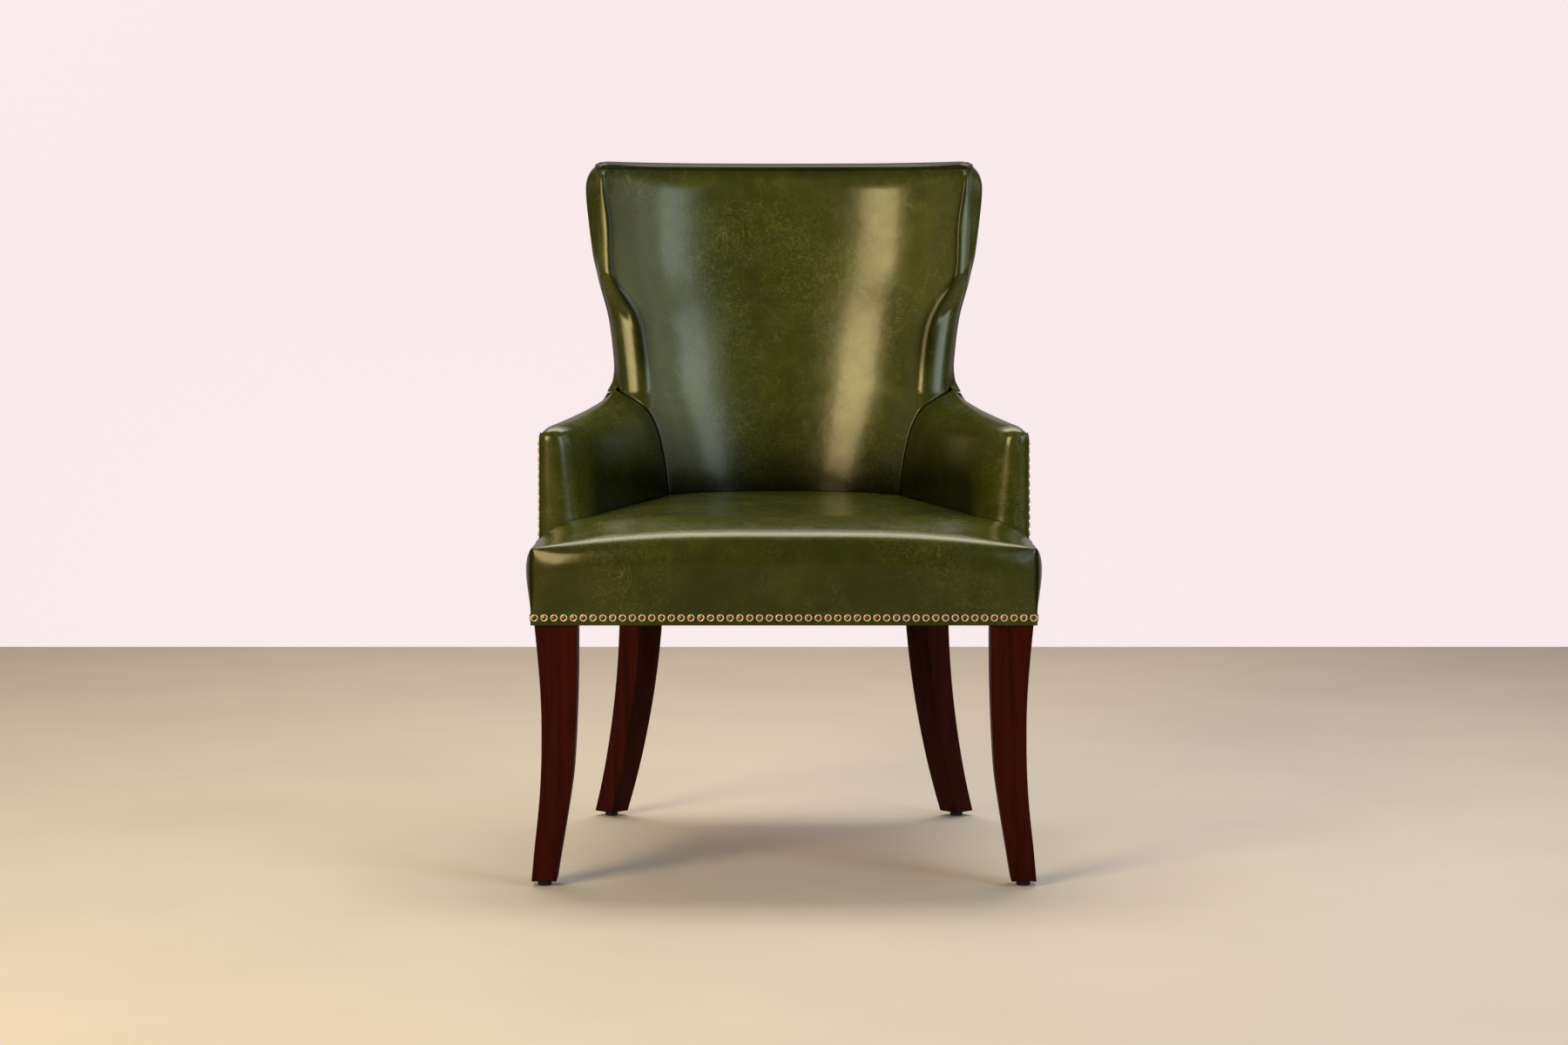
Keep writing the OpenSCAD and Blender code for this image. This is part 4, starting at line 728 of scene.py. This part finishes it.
# Arms
def inside_arm():
    cols, rows = 96, 70
    t = np.linspace(0, 1, cols + 1)
    ss = mix(t, 0.5 - 0.5 * np.cos(np.pi * t), 0.6)
    t = np.linspace(1, 0, rows + 1)
    rs = 1 - (0.45 * t + 0.55 * t ** 1.5)
    R, S = np.meshgrid(rs, ss, indexing="ij")
    X, Y, Z = arm_point(S, R)
    to_back, to_front, to_top = S * arm_reach, (1 - S) * arm_reach, (1 - R) * arm_rise
    # The padding thins towards the front and top, so the inner side turns over both edges in a wide curve
    thin_front, thin_top, front_w, top_w, back_w = 3, 5, 32, 24, 30
    X = (X + thin_front * np.clip(1 - to_front / front_w, 0, 1) ** 2
         + thin_top * np.clip(1 - to_top / top_w, 0, 1) ** 2 * smooth01(to_back / back_w))
    X = X + groove(to_back) * 0.75
    Y = Y + groove(to_back) * 0.3
    face = np.stack([X, Y, Z], -1)
    path = np.array([(i, rows) for i in range(cols + 1)] + [(cols, j) for j in range(rows - 1, -1, -1)])
    pi, pj = path.T
    s, r = ss[pi], rs[pj]
    _, ay, az = arm_point(s, r)
    ax = X[pj, pi]
    front, top = pi == cols, pj == rows
    crown = arm_top_crown * (0.3 + 0.7 * s)

    def bow(q):
        """Height of a rounded edge across the arm: 0 at the inner side, 1 in the middle and on."""
        return 1 - max(0, 1 - 2 * q) ** 1.9

    def curl(q):
        """Fall of the outer edge of the arm: 0 up to the middle, 1 where it meets the panel."""
        return 1 - math.sqrt(1 - max(0, 2 * q - 1) ** 2.2)

    rings = []
    qs = np.linspace(0, 1, 35)[1:] ** 1.15
    for q in qs:
        y = np.where(front, ay - arm_round * (bow(q) - 0.8 * curl(q)), ay)
        z = np.where(top, az + crown * bow(q) - (arm_top_round + gap) * curl(q), az)
        far = side_out_x(y, z) - panel_t * 0.4
        rings.append(np.stack([mix(ax, far, q), y, z], -1))
    pts, faces = ringed(face, path.tolist(), rings)
    # Padding rounds the edge over the top, the two upright edges and the domed top front corner
    top_open, front_open, corner_open = 16, 18, 24
    w = [np.clip(np.maximum(1 - to_top / top_open, 1 - to_front / front_open), 0, 1).reshape(-1)]
    from_corner = np.where(top, (1 - s) * arm_reach, (1 - r) * arm_rise)
    corner = np.clip(1 - from_corner / corner_open, 0, 1)
    for q in qs:
        outer = 0.5 * (q > 0.5)
        w.append(np.maximum(max(1 - q * 2.6, 0), np.maximum(corner, outer)) * min(1, (1 - q) * 8))
    pts = ease(pts, faces, np.concatenate(w) * 0.6, 45)
    near = in_seam(to_back).reshape(-1)
    across_arm, rim_dark_w = 44, 1.5
    # Painted shadow also in the gap where the cover meets the outside panel, along the arm's outer edge
    edge = [np.full(len(path), in_seam((1 - q) * across_arm, rim_dark_w)) for q in qs]
    # Painted shade inside the arm: darker low down, fading out towards the front
    shade = (0.34 + 0.56 * (1 - smooth01((R - 0.35) / 0.65))) * smooth01(to_front / 70)
    shade = np.concatenate([shade.reshape(-1), np.zeros(len(rings) * len(path))])
    return pts, faces, np.concatenate([near] + edge), shade


def outside_arm():
    cols, rows = 110, 60
    step_up, step_h = 2, 14

    def start(z):
        """The front end: low down it meets the seat's ear, above the seat's tuck the rolled front edge."""
        return gap - arm_front + arm_round / 2 * smooth01((z - tuck_h - step_up) / step_h)

    T, V = np.meshgrid(np.linspace(0, 1, cols + 1), np.linspace(0, 1, rows + 1))
    y = mix(start(arm_front_h), side_end_y, T)
    Z = mix(rail_bottom_h, panel_top_z(y), V)
    Y = mix(start(Z), outer_y(rear_edge_x(Z), Z) - panel_t * 0.4, T)
    rim = np.minimum(np.minimum(Z - rail_bottom_h, panel_top_z(y) - Z), np.minimum(T, 1 - T) * 500)
    X = side_out_x(Y, Z) + board_relief(rim, 1.4, 3.2, 0.8, 50)
    return ringed(np.stack([X, Y, Z], -1), [], [])


# Seat: its middle line moves from the arms' fronts back into the hollow faster than its sides
side_shares = [0, 0.2, 0.4, 0.6, 0.8, 0.98, 1]
mid_shares = [1, 0.78, 0.56, 0.36, 0.17, 0.02, -0.005]


def seat_back_y(x, z):
    return hollow_y(x, z) - gap * 3


def swell(q):
    """Outward swell of the band, from 0 at its top edge to 0 at its foot."""
    return np.sin(np.pi * np.minimum(1, q / 0.86) ** 0.66)


def band_q(z):
    """Share of the way down the band of the seat."""
    return (corner_h - z) / (corner_h - rail_bottom_h)


def band_y(x, z):
    """The front of the band, which swells most in the middle of the chair."""
    return -seat_front - front_bulge * swell(band_q(z)) * (1 - (np.abs(x) / half_w) ** 8)


def sewn_corners(p):
    """Roll the leather down into the seam of each front corner; the result is 1 in those seams."""
    seam_foot, seam_foot_h, seam_top, reach, dark_w = 14, 12, 4, 20, 1.7

    def half_outside(d):
        return np.where(d > 0, d, -d * 0.5)

    near = np.zeros(len(p))
    for sgn in (-1, 1):
        far = np.hypot(half_outside(half_w - sgn * p[:, 0]), half_outside(p[:, 1] + seat_front))
        shown = (np.clip((p[:, 2] - rail_bottom_h - seam_foot) / seam_foot_h, 0, 1)
                 * (p[:, 2] < corner_h + seam_top))
        near = np.maximum(near, in_seam(far, dark_w) * shown)
        g = groove(far) * shown * (far < reach) * 0.7
        p[:, 0] -= sgn * g
        p[:, 1] += g
    return near


def seat():
    step_in, side_play, front_fall = 1.0, 0.8, 15
    us = spread(157, 0.3)
    n = len(us) - 1
    ears = np.linspace(0, 1, 34)[:-1] ** 1.15 * 0.99
    steps = np.linspace(0, 1, 9)
    arms = np.linspace(0.98, 0, 58)[1:]
    rows = [("ear", e) for e in ears] + [("step", t) for t in steps] + [("arm", s) for s in arms]
    m = len(rows) - 1

    def inner(z):
        return np.clip((np.maximum(z, tuck_h) - tuck_h) / (arm_front_h - tuck_h), 0, 1)

    def edge(kind, v, z):
        z = np.asarray(z, float)
        if kind == "ear":
            return np.full_like(z, half_w), np.full_like(z, -seat_front + ear_len * v)
        if kind == "step":
            beside_arm = arm_point(0.98, inner(z))[0] - gap
            return (mix(half_w - band_pad_t - gap, beside_arm, smooth01(v)),
                    np.full_like(z, -arm_front - step_in))
        px, py, _ = arm_point(v, inner(z))
        return px - 2 * gap - side_play * (1 - v), py - gap * (1 - v)

    def mid_y(kind, v, z):
        if kind == "ear":
            return -seat_front + ear_len * v
        share = mix(-0.005, 0.02, v) if kind == "step" else np.interp(v, side_shares, mid_shares)
        return mix(-arm_front, seat_back_y(0, z), share)

    def place(kind, v, u, z):
        ex, ey = edge(kind, v, z)
        x = u * ex
        y = mix(mid_y(kind, v, z), ey, np.abs(u) ** 4)
        if kind == "arm" and v < 0.3:
            back = seat_back_y(x, z)
            y = mix(y, back - (seat_back_y(0, z) - mid_y(kind, v, z)), smooth01(1 - v / 0.3))
        return x, y

    def top_z(kind, v, u):
        back = (mid_y(kind, v, crest_h) + seat_front) / (back_inner_y + seat_front)
        fall = 0
        if kind == "ear":
            power, drop = mix(3.3, 10, v ** 2), 1.0
            fall = front_fall * max(0, 1 - v * 1.3) ** 1.6
        elif kind == "step":
            power, drop = mix(10, 5, v), mix(1.0, 0.22, smooth01(v))
        else:
            power, drop = mix(5, 4, 1 - v), mix(0.22, 0.04, 1 - v)
        a = np.abs(u) ** power
        return crest_h + seat_back_up * back - seat_crown * drop * a - fall * (1 - a)

    face = np.zeros((m + 1, n + 1, 3))
    for j, (kind, v) in enumerate(rows):
        z = top_z(kind, v, us)
        face[j] = np.stack([*place(kind, v, us, z), z], -1)
    path = ([(0, j) for j in range(m + 1)] + [(i, m) for i in range(1, n + 1)]
            + [(n, j) for j in range(m - 1, -1, -1)] + [(i, 0) for i in range(n - 1, 0, -1)])
    qs = np.concatenate([np.linspace(0, 0.25, 9)[1:], np.linspace(0.25, 1, 25)[1:]])
    rings = []
    for q in qs:
        ring = []
        for i, j in path:
            kind, v = rows[j]
            shown = kind == "ear"
            u = us[i]
            z = mix(face[j, i, 2], rail_bottom_h if shown else tuck_h + gap, q)
            x, y = place(kind, v, u, z)
            if j == 0:
                y = y - front_bulge * swell(q) * (1 - abs(u) ** 8)
            if shown and abs(u) == 1:
                x = x + np.sign(u) * side_bulge * swell(q) * (1 - abs(2 * v - 1) ** 4)
            ring.append((x, y, z))
        rings.append(np.array(ring, float))
    pts, faces = ringed(face, path, rings, True)
    # Front crest and side crests of the ears are soft, the corners come to a point
    point_r, front_soft, side_soft, ear_soft = 45, 18, 12, 30
    count, n_ear = (m + 1) * (n + 1), len(ears)
    from_side, from_front = half_w - np.abs(face[..., 0]), face[..., 1] + seat_front
    J, I = np.meshgrid(np.arange(m + 1), np.arange(n + 1), indexing="ij")
    corner = np.minimum(np.hypot(from_side, from_front) / point_r, 1)
    front = np.clip(1 - from_front / front_soft, 0, 1) * (J < n_ear)
    side = np.clip(1 - from_side / side_soft, 0, 1) * (J < n_ear - 1) * 0.6
    beside = (np.abs(I / n - 0.5) > 0.3) * (I > 0) * (I < n)
    step = np.clip(1 - np.abs(J - n_ear - 3) / 9, 0, 1) * beside * 0.8
    w = np.zeros(len(pts))
    w[:count] = np.maximum(np.maximum(front, side) * corner, step).reshape(-1)
    pi, pj = np.array(path).T
    near_side = np.clip((1 - np.abs(us[pi])) * half_w / point_r, 0, 1)
    near_front = np.clip(ears[np.minimum(pj, n_ear - 1)] * ear_len / ear_soft, 0, 1)
    soft = np.where(pj == 0, near_side, np.where(pj < n_ear - 1, near_front * 0.5, 0))
    w[count:] = np.concatenate([soft * np.clip(1 - q / 0.22, 0, 1) for q in qs])
    pts = ease(pts, faces, w * 0.6, 26)
    near = sewn_corners(pts)
    ob = new_object("seat", pts, faces, hide)
    mark(ob, "seam", near)
    # Painted shade on all of the seat but its top, the band being the part in sight
    mark(ob, "shade", np.where(np.arange(len(pts)) < count, 0.0, 0.32))
    thicken(ob, cover_t)
    return ob


# Stitches and nails
def tube(pts, faces, rings, a, b, sides):
    """Add a round skin through rings, each (centre, radius), that lie across the directions a and b."""
    base = len(pts)
    for centre, r in rings:
        for k in range(sides):
            turn = 2 * math.pi * k / sides
            pts.append(centre + (a * math.cos(turn) + b * math.sin(turn)) * r)
    for row in range(base, len(pts) - sides, sides):
        for k in range(sides):
            p, q = row + k, row + (k + 1) % sides
            faces.append((p, q, q + sides, p + sides))
    return base


def unit(v):
    v = np.array(v, float)
    return v / np.linalg.norm(v)


def run_along(line):
    """Distance along a line of points, at each of them."""
    return np.concatenate([[0], np.cumsum(np.linalg.norm(np.diff(line, axis=0), axis=1))])


def point_at(line, run, c):
    return np.array([np.interp(c, run, line[:, a]) for a in range(line.shape[1])])


def heading(line, run, c):
    """Direction of a line about a distance of c along it."""
    return point_at(line, run, min(c + 1, run[-1])) - point_at(line, run, max(c - 1, 0))


def stitches(name, line, length, pitch, normal):
    """A row of short threads, sunk at both ends, along a line of points; `normal` points off the leather."""
    radius, sag, sides = 0.42, 1.2, 6
    prof = [(-0.5, 0.25), (-0.42, 0.85), (-0.2, 1.0), (0.2, 1.0), (0.42, 0.85), (0.5, 0.25)]
    run = run_along(line)
    count = int(run[-1] / pitch)
    pts, faces = [], []
    for k in range(count):
        c = (k + 0.5) * run[-1] / count
        at, d = point_at(line, run, c), unit(heading(line, run, c))
        side = unit(np.cross(d, normal))
        up = np.cross(side, d)
        rings = [(at + d * t * length - up * abs(t) * sag * radius * w, radius * w) for t, w in prof]
        base = tube(pts, faces, rings, side, up, sides)
        faces.append(tuple(range(base + sides - 1, base - 1, -1)))
        faces.append(tuple(range(len(pts) - sides, len(pts))))
    return new_object(name, pts, faces, thread)


def nails(name, places):
    """Domed heads with a rolled rim: places are (point, outward direction) in mm."""
    rim = [(4.55, -0.2), (4.78, 0.35), (4.74, 0.95), (4.45, 1.45), (4.0, 1.72)]
    cap = [(3.5, 1.66), (3.05, 1.34), (2.7, 1.12), (2.2, 1.25), (1.2, 1.62)]
    tip_h, sides, tilt, shift = 1.75, 20, 0.07, 0.25
    up = (0, 0, 1.0)
    pts, faces, mats = [], [], []
    for k, (at, out) in enumerate(places):
        # Hand-driven nails never sit quite square
        out = unit(out)
        a = unit(np.cross(out, up))
        lean_a, lean_b = tilt * math.sin(k * 12.9898), tilt * math.sin(k * 78.233 + 1)
        out = unit(out + a * lean_a + np.cross(out, a) * lean_b)
        a = unit(np.cross(out, up))
        b = np.cross(out, a)
        at = np.array(at, float) + b * shift * math.sin(k * 37.7)
        tube(pts, faces, [(at + out * h, r) for r, h in rim + cap], a, b, sides)
        pts.append(at + out * tip_h)
        tip = len(pts) - 1
        for s in range(sides):
            faces.append((tip - sides + s, tip - sides + (s + 1) % sides, tip))
        mats += [0] * len(rim) * sides + [1] * len(cap) * sides
    ob = new_object(name, pts, faces, nail_rim)
    ob.data.materials.append(nail_cap)
    ob.data.polygons.foreach_set("material_index", mats)
    return ob


def spaced(start, end, pitch):
    """Places from start to end, as many as fit at a pitch and evenly apart."""
    return np.linspace(start, end, max(1, math.floor((end - start) / pitch)) + 1)


nail_z = rail_bottom_h + nail_up
side_turn = math.atan((half_w - rear_x) / (side_end_y + arm_front))


def on_side_panel(y, z):
    sunk = 0.3
    return (float(side_out_x(y, z)) - sunk, y, z), (math.cos(side_turn), math.sin(side_turn), 0)


def front_nail_places():
    sunk, end = 0.1, half_w - nail_d / 2
    xs = spaced(-end, end, nail_pitch)
    return [((x, float(band_y(x, nail_z)) + sunk, nail_z), (0, -1, 0)) for x in xs]


def side_nail_places():
    sunk, start = 0.1, nail_d * 0.6
    out = []
    for far in spaced(start, start + ear_len - nail_d - panel_t, nail_pitch):
        x = half_w + side_bulge * float(swell(band_q(nail_z))) * (1 - abs(2 * far / ear_len - 1) ** 4)
        out.append(((x - sunk, far - seat_front, nail_z), (1, 0, 0)))
    ys = spaced(nail_d - arm_front + arm_round / 2, side_end_y - nail_d / 2, nail_pitch)
    return out + [on_side_panel(y, nail_z) for y in ys]


def arm_nail_places():
    y = -arm_front + arm_round / 2 + nail_d * 0.62
    zs = spaced(nail_z + nail_pitch, float(panel_top_z(y)) - nail_d, arm_nail_pitch)
    return [on_side_panel(y, z) for z in zs]


def back_nail_places():
    sunk, reach = 0.4, float(rear_edge_x(nail_z))
    xs = np.linspace(-reach, reach, 600)
    line = np.stack([xs, outer_y(xs, nail_z)], -1)
    run = run_along(line)
    out = []
    for c in spaced(nail_d / 2, run[-1] - nail_d / 2, nail_pitch):
        (x, y), (dx, dy) = point_at(line, run, c), heading(line, run, c)
        out.append(((x, y - sunk, nail_z), (-dy, dx, 0)))
    return out


def flip_places(places):
    return [((-p[0], p[1], p[2]), (-o[0], o[1], o[2])) for p, o in places]


# Build the pieces
def finish_piece(ob, slot, *nodes, pad=None):
    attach(ob, "root")
    if nodes:
        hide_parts(*nodes)


finish_piece(inside_back(), "leather", "inside_back_cover", "back_foam", pad=0.9)
finish_piece(outside_back(), "leather", "outside_back_panel", pad=0.95)
finish_piece(seat(), "leather", "seat_cover", "seat_foam", "rail_padding", pad=0.85)
arm_pts, arm_faces, arm_near, arm_shade = inside_arm()
for side in ("right", "left"):
    arm = new_object("inside_arm_" + side, *on_side(side, arm_pts, arm_faces), hide)
    mark(arm, "seam", arm_near)
    mark(arm, "shade", arm_shade)
    thicken(arm, arm_cover_t)
    finish_piece(arm, "leather", "inside_arm_cover_" + side, "arm_foam_" + side, pad=0.9)
    panel = new_object("outside_arm_" + side, *on_side(side, *outside_arm()), hide)
    thicken(panel, arm_board_t)
    finish_piece(panel, "leather", "outside_arm_panel_" + side, pad=0.95)

for row, places in (("front", front_nail_places()), ("back", back_nail_places())):
    finish_piece(nails("nails_" + row, places), "brass", row + "_nails")
for row, places in (("side", side_nail_places()), ("arm", arm_nail_places())):
    for side in ("right", "left"):
        driven = places if side == "right" else flip_places(places)
        finish_piece(nails("nails_" + row + "_" + side, driven), "brass", row + "_nails_" + side)

# Stitches down the arm seams and the two front corners of the seat
end_in, corner_foot, corner_end, beside_seam, sunk_arm, sunk_corner = 6, 16, 8, 3.2, 0.2, 0.1
arm_z = np.linspace(seat_back_h + end_in, arm_back_h - end_in, 60)
seam_x, seam_y, _ = arm_point(np.full_like(arm_z, 0.012), (arm_z - tuck_h) / (arm_back_h - tuck_h))
corner_z = np.linspace(rail_bottom_h + corner_foot, corner_h - corner_end, 30)
corner_x = np.full_like(corner_z, half_w - beside_seam)
corner_y = band_y(corner_x, corner_z) + sunk_corner
for side, sgn in (("right", 1), ("left", -1)):
    line = np.stack([sgn * (seam_x - sunk_arm), seam_y - sunk_arm, arm_z], -1)
    finish_piece(stitches("stitch_arm_" + side, line, 3.2, 4.6, (-sgn * 0.75, -0.66, 0)), "leather")
    line = np.stack([sgn * corner_x, corner_y, corner_z], -1)
    finish_piece(stitches("stitch_corner_" + side, line, 3.0, 4.8, (0, -1, 0)), "leather")

# Materials of the CAD pieces that stay
by_slot = {"frame_wood": beech, "stained_wood": mahogany, "steel": steel, "glide_plastic": black_plastic,
           "jute": jute, "foam": foam, "leather": hide, "dust_cloth": black_cloth, "brass": nail_rim}
for part in frame["record"]["subparts"]:
    ob = bpy.data.objects.get(part["node"])
    for s in ob.material_slots if ob else ():
        s.material = by_slot[part["material_slot"]]

# Stage, lights and camera
def plain_stage(name, tone_a, tone_b, show=None):
    """Matt material of the stage; with `show` the camera and reflections see that plain colour glowing,
    reflections at 0.4 of its strength, a painted reflection. Without it reflections see the stage darkened, a
    painted reflection too.

    From behind it can be looked through, so that the chair is seen from every side.
    """
    m, n, b = material(name)
    painted_dark_reflection = (0.12, 0.10, 0.06)
    path = n.new("LightPath")
    camera, glossy = path.outputs["Is Camera Ray"], path.outputs["Is Glossy Ray"]
    tone = n.ramp(n.noise(n.object, 3, 4, 0.5), [(0.3, tone_a), (0.7, tone_b)])
    # Painted reflection: reflections see this darkened towards a dark tone
    front = n.fill(b, Base_Color=n.blend(n.times(glossy, 0.6), tone, painted_dark_reflection),
                   Roughness=0.75, Specular_IOR_Level=0.25)
    if show:
        high = n.range(n.noise(n.mapping((0.3, 0.3, 0.3)), 1.2, 1, 0.4), 0.3, 0.7, 0.0, 1.0)
        glow = n.fill(n.new("Emission"), Strength=n.range(camera, 0, 1, 0.4, 1.0),
                      Color=n.ramp(high, [(0.0, show), (1.0, tuple(c * 0.97 for c in show))]))
        front = n.either(n.math("MAXIMUM", camera, glossy), front, glow)
    clear = n.new("BsdfTransparent").outputs[0]
    n.put(n.nt.nodes["Material Output"].inputs[0],
          n.either(n.new("NewGeometry").outputs["Backfacing"], front, clear))
    return m


def sweep(name, prof, mat):
    """A surface as wide as the studio, drawn along a profile of places in metres."""
    pts = [(x / MM, y / MM, z / MM) for y, z in prof for x in (-studio_half_w, studio_half_w)]
    ob = new_object(name, pts, [(2 * k, 2 * k + 1, 2 * k + 3, 2 * k + 2) for k in range(len(prof) - 1)], mat)


studio_half_w, floor_front, wall_y, wall_h = 4, -3.4, 2.6, 7
wall_tone = (0.97, 0.84, 0.85)
floor_mat = plain_stage("pale_floor", (0.74, 0.66, 0.58), (0.79, 0.70, 0.62))
wall_mat = plain_stage("pale_wall", (0.76, 0.70, 0.70), (0.79, 0.73, 0.73), wall_tone)
sweep("stage_floor", [(floor_front, 0), (wall_y, 0)], floor_mat)
sweep("stage_wall", [(wall_y, 0), (wall_y, wall_h)], wall_mat)

world = bpy.data.worlds.new("studio")
bpy.context.scene.world = world
world.use_nodes = True
sky = Nodes(world.node_tree)
faint = sky.feed(sky.new("Background"), (1.0, 0.95, 0.80), 0.08)
pale = sky.feed(sky.new("Background"), wall_tone, 1.0)
seen = sky.either(sky.new("LightPath").outputs["Is Camera Ray"], faint, pale)
sky.put(world.node_tree.nodes["World Output"].inputs[0], seen)

# Heights in metres that the lamps are turned to
chest_h, seat_level = 0.6, 0.5


def lamp(name, at, aim, size, power, tint):
    data = bpy.data.lights.new(name, "AREA")
    data.shape = "RECTANGLE"
    data.size, data.size_y = size
    data.energy = power
    data.color = tint
    ob = add_object(name, data)
    ob.location = at
    ob.rotation_euler = (Vector(aim) - Vector(at)).to_track_quat("-Z", "Y").to_euler()


def around(azimuth, height, far):
    """A place round the chair: degrees to the right of the camera, degrees up, metres away."""
    a, h = math.radians(azimuth), math.radians(height)
    return (far * math.sin(a) * math.cos(h), -far * math.cos(a) * math.cos(h), chest_h + far * math.sin(h))


aim, aim_low = (0, 0, chest_h), (0, 0, seat_level)
lamp("warm_left", around(-35, 18, 3.5), aim, (1.2, 1.9), 76, (1.0, 0.80, 0.48))
lamp("cool_right", around(45, 17, 3.4), aim, (1.0, 1.9), 21, (0.66, 0.82, 1.0))
lamp("cool_wide", around(50, 22, 3.3), aim, (2.4, 2.1), 15, (0.72, 0.86, 1.0))
lamp("side_left", around(-82, 25, 3.2), aim, (1.4, 1.8), 3, (1.0, 0.88, 0.62))
lamp("side_right", around(82, 25, 3.2), aim, (1.4, 1.8), 7, (0.92, 0.95, 1.0))
lamp("overhead", (0, 0.6, 3.1), aim_low, (2.6, 1.1), 50, (1.0, 0.95, 0.82))
lamp("overhead_rear", (0, 1.5, 2.7), aim_low, (2.8, 1.4), 11, (1.0, 0.93, 0.86))

# The camera stands where the photo was taken; its lens is known in pixels of the photo's width
photo_w, lens_px, tilt_down = 1800, 3819.4, 0.07136
cam_data = bpy.data.cameras.new("camera")
cam_data.sensor_width = 36
cam_data.lens = lens_px / photo_w * cam_data.sensor_width
cam_data.clip_end = 60
cam = add_object("camera", cam_data)
cam.location = (0, -4.6203, 0.7881)
cam.rotation_euler = (math.pi / 2 - tilt_down, 0, 0)
bpy.context.scene.camera = cam
bpy.context.scene.view_settings.view_transform = "Standard"
